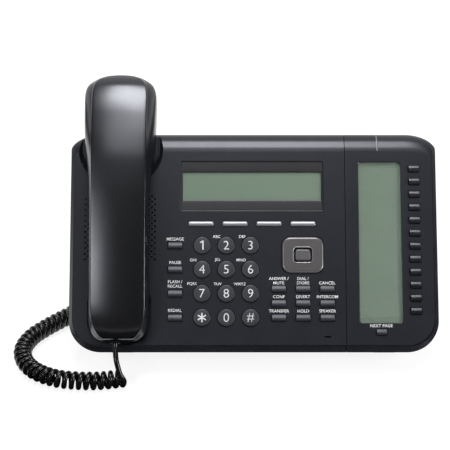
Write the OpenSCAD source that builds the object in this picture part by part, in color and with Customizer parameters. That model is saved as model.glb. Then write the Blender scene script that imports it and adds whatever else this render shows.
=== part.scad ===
// Desk telephone: a sloping base with two displays, a key field and a
// corded handset.  Millimetres.  The panel frame has u to the right, v up
// the slope from the front edge and w square to the panel, away from it.

/* [Base] */
// Width of the panel across both front covers, inside the band round its edge
body_w = 257; // [253:1:265]
// Length of the base up the slope
body_l = 161.8; // [160:0.5:167]
// Angle of the panel above the table with the stand folded out
tilt = 48; // [44:1:52]
// Depth of the front covers square to the panel
cover_t = 15; // [15:0.5:17]
// Depth of the rear cover square to the panel
rear_t = 12; // [11.5:0.5:15]
// Wall of the moulded covers
wall = 2.4; // [2:0.1:2.6]
// Radius of the rolled top edge
roll_r = 13.5; // [12:0.5:14.5]
// Radius of the two front corners
corner_r = 23; // [20:1:25]
// Width of the rounded top corners
shoulder_w = 24; // [18:1:26]
// Height of the rounded top corners below the top edge
shoulder_h = 11; // [9:0.5:13]
// How far the sloped band round the panel stands out
band_out = 3.1; // [2.4:0.1:3.6]
// Depth of the sloped band
band_t = 5; // [4:0.5:6]
// Draft of the walls behind the band, in mm per mm
draft = 0.2; // [0.12:0.02:0.24]
// Width of the right-hand side cover
side_w = 66; // [63.6:0.2:66.2]
// Gap between the two front covers
seam_gap = 0.4; // [0.3:0.1:0.6]
// Height of the rubber feet
foot_h = 2; // [1.6:0.1:3]

/* [Handset] */
// Distance from the left edge of the base to the centre of the handset
handset_in = 36.1; // [35.1:0.5:37.6]
// Lift of the handset from its cradle that the joint allows
handset_lift = 60; // [30:5:80]
// Height of the crown of the handset's upper face
crown = 1.5; // [0.5:0.1:1.8]
// Wall of the handset shells
handset_wall = 2.2; // [1.8:0.1:2.6]
// Depth of the cradle pocket at the ear end
ear_pocket_t = 5; // [4.5:0.1:5.5]
// Half width of the cradle pocket at the ear end
ear_pocket_r = 30.5; // [30:0.5:32]
// Depth of the cradle pocket at the mouth end
mouth_pocket_t = 4; // [3.8:0.1:4.5]
// Clearance beside the handset in the mouth pocket
pocket_gap = 1.4; // [1:0.1:2]
// Radius of the ear cap
ear_cap_r = 19; // [17:0.5:20]
// Diameter of the receiver capsule
receiver_d = 30; // [26:1:32]
// Diameter of the microphone capsule
microphone_d = 9.6; // [8:0.2:12]

/* [Keys] */
// Height of the key tops above the panel
key_rise = 1.3; // [0.8:0.1:2]
// Travel of a key
key_travel = 1.2; // [0.8:0.1:1.4]
// Gap around each key in its hole
key_gap = 0.35; // [0.25:0.05:0.5]
// Width of the hidden flange around each key
key_flange = 1; // [0.8:0.1:1.1]
// Diameter of the dial keys
dial_d = 12.3; // [11.5:0.1:13]
// Spacing of the dial keys across
dial_du = 17.25; // [17:0.05:17.4]
// Spacing of the dial keys up the slope
dial_dv = 17.35; // [16.8:0.05:17.6]
// Width of the small function keys
fn_w = 10.4; // [9.5:0.1:11]
// Height of the small function keys
fn_h = 4.8; // [4.2:0.1:5.2]
// Spacing of the function key rows on the right
fn_dv = 10.4; // [10:0.1:10.6]
// Width of the four silver display keys
soft_w = 17.6; // [16:0.1:18.5]
// Height of the four silver display keys
soft_h = 3.4; // [3:0.1:4]
// Spacing of the silver display keys
soft_du = 24.3; // [23:0.1:25]
// Width of the line keys
line_w = 7.8; // [7:0.1:8.2]
// Height of the line keys
line_h = 4.8; // [4.4:0.1:5]
// Spacing of the line keys
line_dv = 9.4; // [9.2:0.05:9.5]
// Number of line keys
line_n = 12; // [6:1:12]
// Width of the page key
page_w = 7.4; // [6.5:0.1:8]
// Height of the page key
page_h = 4.3; // [4:0.1:4.6]
// Width of the navigation key
nav_w = 29.3; // [28.5:0.1:30]
// Height of the navigation key
nav_h = 25.5; // [24:0.1:26]
// Width of the centre key
centre_w = 10.6; // [10:0.1:11]
// Height of the centre key
centre_h = 8; // [7.5:0.1:8.5]
// Gap between the navigation key and the centre key
centre_gap = 1.15; // [1:0.05:1.2]

/* [Displays and lamp] */
// Width of the display frame
display_w = 101.8; // [101.4:0.2:104]
// Height of the display frame
display_h = 36; // [34:0.2:36.4]
// Width of the display glass that shows
glass_w = 99.6; // [90:0.2:100]
// Height of the display glass that shows
glass_h = 20.7; // [18:0.1:22]
// Width of the label display
label_w = 30.3; // [28:0.1:31]
// Height of the label display
label_h = 116.7; // [110:0.1:118]
// Thickness of the clear windows
window_t = 0.8; // [0.6:0.1:1]
// Width of the message lamp along the top edge
lamp_w = 24; // [18:0.5:28]
// Depth of the message lamp over the top edge
lamp_t = 9; // [6:0.5:10]

/* [Inside] */
// Depth of the circuit board below the panel
board_w = 14; // [13.5:0.1:14.4]
// Thickness of the circuit board
board_t = 1.6; // [1.2:0.1:2]
// Thickness of the rubber key mat
mat_t = 1.2; // [0.8:0.1:1.6]
// Diameter of the loudspeaker
speaker_d = 50; // [46:1:52]
// Spacing of the loudspeaker holes
hole_pitch = 4; // [3.6:0.1:4.6]
// Diameter of the loudspeaker holes
hole_d = 1.5; // [1:0.1:1.8]
// Shank diameter of the case screws
screw_d = 3; // [2.5:0.1:3]
// Head diameter of the case screws
screw_head_d = 5.6; // [5:0.1:6]
// Width of a network socket opening
network_socket_w = 11.8; // [11.6:0.1:12.2]
// Height of a network socket opening
network_socket_h = 6.8; // [6.6:0.1:8]
// Width of the handset plug
plug_w = 7.6; // [7.4:0.1:7.8]
// Height of the handset plug
plug_h = 6.4; // [6:0.1:6.6]

/* [Stand] */
// Width of the stand plate
stand_w = 150; // [120:2:156]
// Distance of the stand hinge up the slope
hinge_v = 100; // [92:1:104]
// Diameter of the hinge pins
pin_d = 5; // [4:0.2:6]
// Thickness of the stand plate
stand_t = 4; // [3:0.5:5]
// Distance that the stand foot reaches behind its hinge
stand_reach = 42; // [36:1:52]

/* [Cord] */
// Diameter of the cord
cord_d = 3.8; // [3.2:0.2:4]
// Outer diameter of the curly part of the cord
coil_d = 13.5; // [12:0.5:15]

/* [Hidden] */
$fn = 48;

// Colours of the pieces
case_colour = "#2b2c30";
key_colour = "#1d1e21";
silver = "#c9cacd";
lcd_green = "#74896f";
board_green = "#2f6b46";
rubber = "#151515";
gloss_black = "#111214";

// Running gap between a moving piece and its guide
run_gap = 0.3;
// Gap between two fixed pieces that fit together
fit_gap = 0.15;
// Amount by which a cut runs past a face
past = 1;

// Place of the base: the front edge of the panel and its height
front_y = -66;
total_t = cover_t + rear_t;
lift = total_t * cos(tilt) + foot_h;
half_w = body_w / 2 + band_out;
seam_u = half_w - side_w;
handset_u = -half_w + handset_in;

// Where the flat of the panel turns into the rolled top edge
roll_v = body_l - roll_r;

// Steps along each rounded corner, and across the rolled edge before and behind the band's foot
corner_steps = 6;
roll_steps = [4, 3];

// Front edge of the base at the foot of the band, and how much wider the band is there
front_v = 1.5;
front_band = 1;
// How flat the shoulders start on the panel, as a part of their full height
shoulder_start = 0.45;

// How far the places on the panel spread with the size of the base
across = body_w / 257;
along = body_l / 161.8;

// Key field: rows count up from the front
key_du = dial_du * across;
key_dv = dial_dv * along;
dial_u = -19.6 * across;
row_v = 25.5 * along;
left_u = -56 * across;
fn_u = 35 * across;
fn_row_dv = fn_dv * along;
nav_v = row_v + 2.6 * key_dv;
frame_w = display_w * across;
frame_h = display_h * along;
screen_w = glass_w * across;
screen_h = glass_h * along;
display_u = -1.2 * across;
display_v = 121.2 * along;
soft_v = 93.4 * along;
key_soft_du = soft_du * across;
label_l = label_h * along;
line_u = half_w - 16.4;
label_u = line_u - 24.8;
label_v = 80.3 * along;
line_v = 30.2 * along;
key_line_dv = line_dv * along;
page_v = 15.4 * along;
mic_u = 52.3 * across;
mic_v = 11.9 * along;
mic_w = 4.7;
mic_h = 1.1;
mic_r = 0.5;

// Depths of the hidden parts of a key
flange_top = wall + run_gap;
flange_t = 1.2;
stem_end = 6;
stem_r = 2.2;
dome_top = stem_end + key_travel + run_gap;

// Loudspeaker and its holes under the grip
speaker_v = 91.5 * along;
hole_cols = 12;
hole_rows = 11;
speaker_cone = 4;
speaker_rim = 1.5;
speaker_flange = 3;
magnet_r = 14;
magnet_top = 8;
magnet_end = 19;

// Case screws: places on the base
screw_places = [
    [-half_w + 15.6, 11], [half_w - 15.6, 11],
    [-half_w + 13.6, body_l - 11.8], [half_w - 13.6, body_l - 11.8]
];
boss_r = 3.6;
screw_sink = 6;
screw_l = 12;

// Handset sections: place along v, lower half width, upper half width,
// underside, parting line between the shells, and upper face
SECTIONS = [
    [8, 13, 12, 3, 12, 15.5],
    [10, 16.5, 15, 0.5, 12.2, 19],
    [14, 19.3, 17.4, -1.2, 12.4, 21.3],
    [20, 20.9, 18.6, -2, 12.7, 23],
    [40, 21.3, 18.8, -2, 13, 26],
    [48, 21.3, 18.8, 1, 13.5, 27],
    [56, 21.3, 18.8, 7, 15, 27.9],
    [70, 21.3, 18.8, 10, 17, 29.4],
    [100, 21.3, 18.8, 12.5, 19.5, 31.8],
    [125, 22.2, 18.9, 11, 19, 32.9],
    [138, 23.6, 19, 4, 18, 32.9],
    [150, 25, 19.1, 0.5, 17, 32],
    [171, 25.8, 19.1, 0, 15, 28.2],
    [179.5, 25.9, 19.1, 0.5, 14, 25.7],
    [186, 25.6, 18.8, 2, 13, 23],
    [190.5, 24.5, 18, 3, 12.3, 20.5],
    [193.6, 22.2, 16.5, 4, 11.8, 18],
    [196.5, 18.2, 14, 5, 11.2, 15.6],
    [198.4, 14, 11, 5.8, 10.8, 14],
    [199.6, 8, 7, 6.6, 10.4, 12.8]
];
handset_r = 21.3;
handset_end_v = SECTIONS[0][0];
parting_gap = 0.15;
side_draft = 0.4;
under_bevel = 2;
// Rounded edge between the upper face and the sides
edge_out = 0.7;
edge_in = 0.8;
edge_t = 1.4;

// Cradle pockets
ear_pocket_v = 148 * along;
ear_pocket_ry = 28 * along;
mouth_pocket_v = [7.3, 53];
mouth_pocket_corner = 17;
pocket_steps = 24;
// Caps, capsules and their sound holes in the lower shell
ear_cap_v = [157, 172];
ear_cap_top = 3;
receiver_v = 165;
receiver_t = 6;
receiver_sink = 6;
mouth_cap_v = 30;
mouth_cap_r = 14;
microphone_t = 6;
microphone_sink = 4;
sound_hole_r = 1;
sound_ring = 0.2 * receiver_d;

// Hook switch in the ear pocket
hook_v = 144 * along;
hook_w = 9;
hook_h = 5;
hook_rise = 4;
hook_collar = 1.5;
hook_collar_t = 1;

// Sockets at the back
jack_v = 125 * along;
jack_u = handset_u - 2.5;
jack_wall = 2;
network_u = [jack_u + 18, jack_u + 36];

// Plugs and cord
plug_u = handset_u - 2;
plug_mid_w = 8;
plug_l = 11;
plug_out = 2;
base_plug_out = 7;

// Key mat: margins round the groups of keys, and width of the strip under the line keys
mat_edge = 8;
mat_soft_edge = 4;
mat_line_w = 10;
mat_inset = 0.5;

// Stand hinge, in the frame of the table
hinge_w = total_t + 5;
hinge_y = front_y + hinge_v * cos(tilt) + hinge_w * sin(tilt);
hinge_z = lift + hinge_v * sin(tilt) - hinge_w * cos(tilt);
lug_t = 5;
barrel_r = pin_d / 2 + 2;
stand_foot_y = hinge_y + stand_reach;
stand_foot_h = 5;
stand_foot_l = 12;
stand_foot_edge = 8;

// Cord: centre line of the curly part, lying on the table
COIL_ROUTE = [
    [-92, -77, 6.75], [-108, -80, 6.75], [-124, -80, 6.75], [-140, -77, 6.75],
    [-154, -69, 6.75], [-163, -57, 6.75], [-166, -42, 6.75], [-161, -26, 6.75],
    [-150, -12, 6.75], [-137, 1, 6.75], [-124, 13, 6.75], [-112, 22, 6.75]
];
// Front lead after the handset plug, down onto the curly part
LEAD_ROUTE = [
    [-97, -72, 24], [-97, -75, 20], [-97, -77, 16], [-97, -77, 13.5]
];
// Rear lead, from the curly part up to the base plug
REAR_ROUTE = [
    [-112, 22, 6.75], [-107, 26, 9], [-103, 32, 14], [-101, 40, 24],
    [-99, 46, 38], [-98, 50, 54], [-98, 52, 68], [-98, 50, 80]
];
lead_sides = 8;
coil_sides = 12;
DIAL_NAMES = ["1", "2", "3", "4", "5", "6", "7", "8", "9", "star", "0", "hash"];

// Corner radii of the key and display outlines
small_r = 0.8;
nav_r = 5.8;
nav_hole_r = 2;
centre_r = 1.6;
label_r = 1.5;
frame_r = 1;

// Navigation key: rocker tabs, skirt and stems
nav_gap = 0.15;
nav_bottom = 4.5;
nav_tab = 6;
nav_stem_r = 1.2;
nav_spot_u = 11.5;
nav_spot_v = 9.5;
centre_flange_top = nav_bottom + 0.5;

// Display frame: drop below the panel, and thickness
bezel_drop = 1;
bezel_t = 2.4;

// Margins of the display modules behind the cover
display_edge = 2;
label_edge = 1.2;

// Message lamp: where it starts on the panel
lamp_v = roll_v - 1.5;

// Circuit board outline
board_u = left_u - 8.5;
board_v = 13.3 * along;
board_top = 145.2 * along;
board_edge = 10.6;
board_tab_u = handset_u - 14;
board_tab_v = 117 * along;
board_tab_top = 148 * along;

// Jack block in the rear cover
jack_w = 58;
jack_h = 14;
jack_mid_u = jack_u - 10 + jack_w / 2;
network_socket_t = 10;

// Rear cover: bevel, vents and foot blocks
rear_bevel = 2;
vent_n = 10;
vent_u = 20;
vent_v = 135 * along;
vent_pitch = 7;
vent_w = 2.6;
vent_l = 18;
vent_r = 1.2;
boss_gap = 1;
foot_x = 95;
foot_w = 24;
foot_y = front_y + 28;
foot_l = 15;
foot_block_h = 30;
foot_pad_edge = 2;
foot_pad_r = 3;
pin_gap = 0.1;
pilot_gap = 0.05;
screw_head_h = 2;

// ---------------------------------------------------------------- helpers

// Puts a child given in the panel frame in its place
module panel() translate([0, front_y, lift]) rotate([tilt, 0, 0]) children();

// A flat outline made solid between two depths below the panel
module between(top, bottom) translate([0, 0, -bottom]) linear_extrude(bottom - top) children();

// Rectangle with round corners, centred
module pill(w, h, r) {
    square([w - 2 * r, h], center = true);
    square([w, h - 2 * r], center = true);
    for (x = [-1, 1], y = [-1, 1]) translate([x * (w / 2 - r), y * (h / 2 - r)]) circle(r);
}

// Points of part of an ellipse
function arc(c, rx, ry, from, to, steps) = [
    for (i = [0:steps]) let (a = from + (to - from) * i / steps) [c.x + rx * cos(a), c.y + ry * sin(a)]
];

// A closed skin through rings of points, each ring with as many points
module skin(rings) {
    n = len(rings[0]);
    last = len(rings) - 1;
    points = [for (ring = rings) each ring];
    sides = [
        for (i = [0:last - 1], j = [0:n - 1]) let (a = i * n + j, b = i * n + (j + 1) % n)
            each [[a, a + n, b + n], [a, b + n, b]]
    ];
    caps = [[for (j = [0:n - 1]) j], [for (j = [n - 1:-1:0]) last * n + j]];
    polyhedron(points, concat(sides, caps), convexity = 8);
}

// A tube along a route: ring planes turn with it, and ref is the side that stays up
function unit(a) = a / norm(a);
function heading(route, i, first, end) =
    i == 0 ? first
    : i == len(route) - 1 ? end
    : unit(unit(route[i + 1] - route[i]) + unit(route[i] - route[i - 1]));
function tube_ring(p, along, ref, r, sides) =
    let (side = unit(cross(along, ref)), up = cross(side, along))
    [for (j = [0:sides - 1]) let (a = (j + 0.5) * 360 / sides) p + r * (cos(a) * side + sin(a) * up)];
module tube(route, d, sides, ref, first, end) {
    r = d / 2 / cos(180 / sides);
    skin([for (i = [0:len(route) - 1]) tube_ring(route[i], heading(route, i, first, end), ref, r, sides)]);
}

// A point and a direction of the panel frame, in the frame of the table
function to_table(u, v, w) =
    [u, front_y + v * cos(tilt) - w * sin(tilt), lift + v * sin(tilt) + w * cos(tilt)];
down_slope = [0, -cos(tilt), -sin(tilt)];
away_back = [0, sin(tilt), -cos(tilt)];

// ---------------------------------------------------------------- covers

// How far the walls stand in from the foot of the band at a depth
function stand_in(depth) = depth < band_t ? band_out * (1 - depth / band_t) : draft * (depth - band_t);

// Outline of the base at one depth, inset all round: rise is the part of the shoulder that is reached
function base_outline(inset, depth, top, rise) =
    let (in = inset + stand_in(depth), hw = half_w - in, r = corner_r - in, rx = shoulder_w - in,
         ry = (shoulder_h - inset) * rise, front = front_v + in + front_band * max(0, 1 - depth / band_t))
    concat(
        arc([hw - r, front + r], r, r, -90, 0, corner_steps),
        arc([hw - rx, top - ry], rx, ry, 0, 90, corner_steps),
        arc([-hw + rx, top - ry], rx, ry, 90, 180, corner_steps),
        arc([-hw + r, front + r], r, r, 180, 270, corner_steps)
    );
function at_depth(outline, depth) = [for (p = outline) [p.x, p.y, -depth]];

// Solid inside the front covers' outer face, or inset by a wall
module cover_solid(inset, bottom) {
    r = roll_r - inset;
    foot = acos((roll_r - band_t) / r);
    turns = concat(
        [for (i = [0:roll_steps[0] - 1]) foot * i / roll_steps[0]],
        [for (i = [0:roll_steps[1]]) foot + (90 - foot) * i / roll_steps[1]]
    );
    ring = function (depth, a) at_depth(base_outline(
        inset, depth, roll_v + r * sin(a), shoulder_start + (1 - shoulder_start) * sin(a)), depth);
    skin(concat(
        [ring(bottom, 90)],
        [for (i = [len(turns) - 1:-1:0]) ring(roll_r - r * cos(turns[i]), turns[i])]
    ));
}

// Outline of the ear pocket, widened by extra
module ear_pocket(extra) {
    translate([handset_u, ear_pocket_v])
        polygon(concat(
            arc([0, 0], ear_pocket_r + extra, ear_pocket_ry + extra, 180, 360, pocket_steps),
            [[ear_pocket_r + extra, body_l], [-ear_pocket_r - extra, body_l]]
        ));
}

// Outline of the mouth pocket, widened by extra
module mouth_pocket(extra) {
    w = 2 * (handset_r + pocket_gap + extra);
    h = mouth_pocket_v[1] - mouth_pocket_v[0] + 2 * extra;
    translate([handset_u, (mouth_pocket_v[0] + mouth_pocket_v[1]) / 2]) pill(w, h, mouth_pocket_corner);
}

// Places of the keys
function dial_place(i) = [dial_u + key_du * (i % 3 - 1), row_v + key_dv * (3 - floor(i / 3))];
function left_place(i) = [left_u, row_v + key_dv * (3 - i)];
function fn_place(i) = [fn_u + key_du * (i % 3 - 1), row_v + fn_row_dv * (2 - floor(i / 3))];
function soft_place(i) = [display_u + key_soft_du * (i - 1.5), soft_v];
function line_place(i) = [line_u, line_v + key_line_dv * i];

// Holes for the keys of the main cover, with a gap all round
module main_key_holes(gap) {
    for (i = [0:11]) translate(dial_place(i)) circle(dial_d / 2 + gap);
    for (i = [0:3]) translate(left_place(i)) pill(fn_w + 2 * gap, fn_h + 2 * gap, small_r);
    for (i = [0:8]) translate(fn_place(i)) pill(fn_w + 2 * gap, fn_h + 2 * gap, small_r);
    for (i = [0:3]) translate(soft_place(i)) pill(soft_w + 2 * gap, soft_h + 2 * gap, small_r);
    translate([fn_u, nav_v]) pill(nav_w + 2 * (gap + nav_gap), nav_h + 2 * (gap + nav_gap), nav_r);
}

// Holes for the keys of the side cover
module side_key_holes(gap) {
    for (i = [0:line_n - 1]) translate(line_place(i)) pill(line_w + 2 * gap, line_h + 2 * gap, small_r);
    translate([label_u, page_v]) pill(page_w + 2 * gap, page_h + 2 * gap, small_r);
}

// Staggered holes over the loudspeaker
module speaker_holes() {
    for (c = [0:hole_cols], r = [0:hole_rows])
        translate([handset_u + (c - hole_cols / 2) * hole_pitch,
                   speaker_v + (r - hole_rows / 2 + (c % 2) / 2 - 0.25) * hole_pitch])
            circle(hole_d / 2, $fn = 16);
}

// Screw posts of the front covers, with a pilot bore
module posts(from, to) {
    for (i = [from:to]) translate(screw_places[i]) circle(boss_r);
}
module pilots(from, to) {
    for (i = [from:to]) translate(screw_places[i]) circle(screw_d / 2);
}

module front_cover() {
    color(case_colour) panel() difference() {
        intersection() {
            cover_solid(0, cover_t);
            translate([-half_w - past, -past, -cover_t - past])
                cube([half_w + seam_u + past - seam_gap / 2, body_l + 2 * past, cover_t + 2 * past]);
        }
        difference() {
            cover_solid(wall, cover_t + past);
            between(0, ear_pocket_t + wall) ear_pocket(wall);
            between(0, mouth_pocket_t + wall) mouth_pocket(wall);
            between(0, cover_t + past) for (i = [0, 2]) translate(screw_places[i]) circle(boss_r);
        }
        between(-past, ear_pocket_t) ear_pocket(0);
        between(-past, mouth_pocket_t) mouth_pocket(0);
        between(-past, wall + past) {
            main_key_holes(key_gap);
            translate([display_u, display_v]) pill(frame_w, frame_h, frame_r);
            speaker_holes();
            translate([mic_u, mic_v]) pill(mic_w, mic_h, mic_r);
        }
        between(ear_pocket_t - past, ear_pocket_t + wall + past)
            translate([handset_u, hook_v]) pill(hook_w + 2 * run_gap, hook_h + 2 * run_gap, small_r);
        between(wall + mouth_pocket_t + past, cover_t + past) pilots(0, 0);
        between(wall + ear_pocket_t + past, cover_t + past) pilots(2, 2);
    }
}

module side_cover() {
    color(case_colour) panel() difference() {
        intersection() {
            cover_solid(0, cover_t);
            translate([seam_u + seam_gap / 2, -past, -cover_t - past])
                cube([side_w + past, body_l + 2 * past, cover_t + 2 * past]);
        }
        difference() {
            cover_solid(wall, cover_t + past);
            between(0, cover_t + past) for (i = [1, 3]) translate(screw_places[i]) circle(boss_r);
        }
        between(-past, wall + past) {
            side_key_holes(key_gap);
            translate([label_u, label_v]) pill(label_w, label_l, label_r);
        }
        lamp_space();
        between(wall + past, cover_t + past) pilots(1, 1);
        between(wall + past, cover_t + past) pilots(3, 3);
    }
}

// The part of the rolled edge that is left open for the message lamp
module lamp_space() {
    translate([seam_u - past, lamp_v, -lamp_t]) cube([lamp_w + past, body_l, lamp_t + past]);
}

module message_lamp() {
    color("#8e9096") panel() intersection() {
        difference() {
            cover_solid(0, cover_t);
            cover_solid(wall, cover_t + past);
        }
        translate([seam_u + seam_gap / 2, lamp_v + fit_gap, -lamp_t + fit_gap])
            cube([lamp_w - seam_gap / 2 - fit_gap, body_l, lamp_t + past]);
    }
}

// Solid inside the rear cover's outer face, or inset by a wall
module rear_solid(inset, top) {
    ring = function (depth, in) at_depth(base_outline(
        inset + in, depth, body_l - inset - in - draft * (depth - cover_t), 1), depth);
    skin([ring(total_t - inset, rear_bevel), ring(total_t - rear_bevel, 0), ring(top, 0)]);
}

// Foot block under the front edge of the rear cover, in the frame of the table
module foot_block(side) {
    difference() {
        translate([side * foot_x - foot_w / 2, foot_y, foot_h]) cube([foot_w, foot_l, foot_block_h]);
        panel() translate([-half_w, -body_l, -total_t + wall / 2]) cube([body_w, 2 * body_l, body_l]);
    }
}

module rear_cover() {
    lug_u = stand_w / 2 + run_gap;
    color(case_colour) {
        panel() difference() {
            rear_solid(0, cover_t);
            difference() {
                rear_solid(wall, cover_t - past);
                between(0, total_t) for (p = screw_places) translate(p) circle(boss_r + boss_gap);
            }
            between(0, total_t + past) for (p = screw_places) translate(p) circle(screw_d / 2 + fit_gap);
            between(total_t - screw_sink, total_t + past)
                for (p = screw_places) translate(p) circle(screw_head_d / 2 + run_gap);
            between(0, total_t + past) translate([jack_mid_u, jack_v])
                square([jack_w + 2 * fit_gap, jack_h + 2 * fit_gap], center = true);
            between(0, total_t + past) for (i = [0:vent_n - 1])
                translate([vent_u + i * vent_pitch, vent_v]) pill(vent_w, vent_l, vent_r);
        }
        for (side = [-1, 1]) foot_block(side);
        panel() difference() {
            for (side = [-1, 1])
                translate([side * (lug_u + lug_t / 2), hinge_v, -hinge_w]) rotate([0, 90, 0]) {
                    cylinder(h = lug_t, r = barrel_r, center = true);
                    translate([(total_t - hinge_w) / 2 - wall / 4, 0, 0])
                        cube([hinge_w - total_t + wall / 2, 2 * barrel_r, lug_t], center = true);
                }
            translate([0, hinge_v, -hinge_w]) rotate([0, 90, 0])
                cylinder(h = body_w, d = pin_d + 2 * pin_gap, center = true);
        }
    }
}

module front_feet() {
    color(rubber) for (side = [-1, 1])
        translate([side * foot_x, foot_y + foot_l / 2, 0])
            linear_extrude(foot_h) pill(foot_w - 2 * foot_pad_edge, foot_l - 2 * foot_pad_edge, foot_pad_r);
}

module case_screws() {
    color(silver) panel() for (p = screw_places) translate([p.x, p.y, -total_t]) {
        translate([0, 0, screw_sink - screw_head_h]) cylinder(h = screw_head_h, d = screw_head_d);
        translate([0, 0, screw_sink]) cylinder(h = screw_l, d = screw_d - 2 * pilot_gap);
    }
}

// ---------------------------------------------------------------- displays

module display_bezel() {
    color(key_colour) panel() between(bezel_drop, bezel_drop + bezel_t) translate([display_u, display_v])
        difference() {
            pill(frame_w - 2 * fit_gap, frame_h - 2 * fit_gap, frame_r - fit_gap);
            square([screen_w, screen_h], center = true);
        }
}

module display_window() {
    color("white", 0.3) panel() between(bezel_drop + bezel_t - 2 * window_t, bezel_drop + bezel_t - window_t)
        translate([display_u, display_v])
            square([screen_w - 2 * fit_gap, screen_h - 2 * fit_gap], center = true);
}

module display_panel() {
    color(lcd_green) panel() translate([display_u, display_v]) {
        between(bezel_drop + bezel_t - window_t, bezel_drop + bezel_t)
            square([screen_w - 2 * fit_gap, screen_h - 2 * fit_gap], center = true);
        between(bezel_drop + bezel_t, board_w)
            square([frame_w + 2 * display_edge, frame_h + 2 * display_edge], center = true);
    }
}

module label_window() {
    color("white", 0.3) panel() between(wall - window_t, wall) translate([label_u, label_v])
        pill(label_w - 2 * fit_gap, label_l - 2 * fit_gap, label_r - fit_gap);
}

module label_panel() {
    color(lcd_green) panel() between(wall, board_w) translate([label_u, label_v])
        square([label_w + 2 * label_edge, label_l + 2 * label_edge], center = true);
}

// ---------------------------------------------------------------- inside

module main_board() {
    color(board_green) panel() between(board_w, board_w + board_t) difference() {
        union() {
            translate([board_u, board_v]) square([half_w - board_edge - board_u, board_top - board_v]);
            translate([board_tab_u, board_tab_v])
                square([board_u - board_tab_u + past, board_tab_top - board_tab_v]);
        }
        translate([handset_u, hook_v]) pill(hook_w + 2 * run_gap, hook_h + 2 * run_gap, small_r);
        for (p = screw_places) translate(p) circle(boss_r + boss_gap);
    }
}

module key_mat() {
    mat_top = board_w - mat_t;
    mat_bottom = board_v + mat_inset;
    mat_strip_v = screw_places[1].y + boss_r + boss_gap;
    color("#8c8c88") panel() {
        between(mat_top, board_w) {
            translate([left_u - mat_edge, row_v - mat_edge])
                square([fn_u + key_du - left_u + 2 * mat_edge, soft_v + mat_soft_edge - row_v + mat_edge]);
            translate([label_u - mat_line_w / 2, mat_bottom])
                square([mat_line_w, page_v + mat_soft_edge - mat_bottom]);
            translate([label_u, mat_strip_v])
                square([line_u - label_u + mat_line_w / 2, page_v + mat_soft_edge - mat_strip_v]);
            translate([line_u - mat_line_w / 2, mat_strip_v])
                square([mat_line_w, line_place(line_n - 1).y + mat_line_w / 2 - mat_strip_v]);
        }
        between(dome_top, mat_top) {
            for (i = [0:11]) translate(dial_place(i)) circle(stem_r);
            for (i = [0:3]) translate(left_place(i)) circle(stem_r);
            for (i = [0:8]) translate(fn_place(i)) circle(stem_r);
            for (i = [0:3]) translate(soft_place(i)) circle(stem_r);
            for (i = [0:line_n - 1]) translate(line_place(i)) circle(stem_r);
            translate([label_u, page_v]) circle(stem_r);
            translate([fn_u, nav_v]) circle(stem_r);
            nav_spots() circle(nav_stem_r);
        }
    }
}

module loudspeaker() {
    r = speaker_d / 2;
    top = wall + fit_gap;
    color("#3a3a3c") panel() translate([handset_u, speaker_v, 0]) rotate_extrude()
        polygon([
            [0, -top - speaker_cone], [r - speaker_cone, -top], [r, -top], [r, -top - speaker_rim],
            [r - speaker_flange, -top - speaker_rim], [magnet_r, -top - magnet_top],
            [magnet_r, -magnet_end], [0, -magnet_end]
        ]);
}

module jack_block() {
    top = board_w + board_t;
    color("#d8d6cc") panel() difference() {
        between(top, total_t) translate([jack_mid_u, jack_v]) square([jack_w, jack_h], center = true);
        between(total_t - plug_l, total_t + past)
            translate([jack_u, jack_v]) square([plug_w + 2 * fit_gap, plug_h + 2 * fit_gap], center = true);
        between(total_t - network_socket_t, total_t + past) for (u = network_u)
            translate([u, jack_v]) square([network_socket_w, network_socket_h], center = true);
    }
}

module hook_switch() {
    collar = ear_pocket_t + wall + hook_rise + run_gap;
    color(key_colour) panel() translate([handset_u, hook_v]) {
        between(ear_pocket_t, board_w) pill(hook_w, hook_h, small_r - run_gap);
        between(collar, collar + hook_collar_t)
            pill(hook_w + 2 * hook_collar, hook_h + 2 * hook_collar, small_r);
    }
}

// ---------------------------------------------------------------- stand

module stand() {
    drop = hinge_z - foot_h - stand_foot_h / 2;
    color(case_colour) {
        translate([0, hinge_y, hinge_z]) {
            rotate([0, 90, 0]) cylinder(h = stand_w, r = barrel_r, center = true);
            rotate([0, 90, 0]) cylinder(h = stand_w + 2 * (run_gap + lug_t), d = pin_d, center = true);
            rotate([atan2(stand_reach, drop), 0, 0])
                translate([-stand_w / 2, -stand_t / 2, -norm([stand_reach, drop])])
                    cube([stand_w, stand_t, norm([stand_reach, drop])]);
        }
        translate([-stand_w / 2, stand_foot_y - stand_t, foot_h]) cube([stand_w, stand_foot_l, stand_foot_h]);
    }
}

module stand_feet() {
    pad_u = (stand_w - foot_w - stand_foot_edge) / 2;
    color(rubber) for (side = [-1, 1])
        translate([side * pad_u, stand_foot_y - stand_t + stand_foot_l / 2, 0]) linear_extrude(foot_h)
            pill(foot_w - 2 * foot_pad_edge, stand_foot_l - 2 * foot_pad_edge, foot_pad_r);
}

// ---------------------------------------------------------------- handset

// One section of each handset shell, inset all round and closed along the parting line
function placed(v, outline) = [for (p = outline) [handset_u + p.x, v, p.y]];
function face_ring(v, a, under, top) = placed(v, [
    [-a + under_bevel, under], [-a, under + under_bevel], [-a + side_draft, top],
    [a - side_draft, top], [a, under + under_bevel], [a - under_bevel, under]
]);
function back_ring(v, a, b, bottom, face) = placed(v, [
    [-a + side_draft, bottom], [-b - edge_out, face - edge_t], [-b + edge_in, face],
    [-b / 2, face + 0.75 * crown], [0, face + crown], [b / 2, face + 0.75 * crown],
    [b - edge_in, face], [b + edge_out, face - edge_t], [a - side_draft, bottom]
]);

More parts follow.
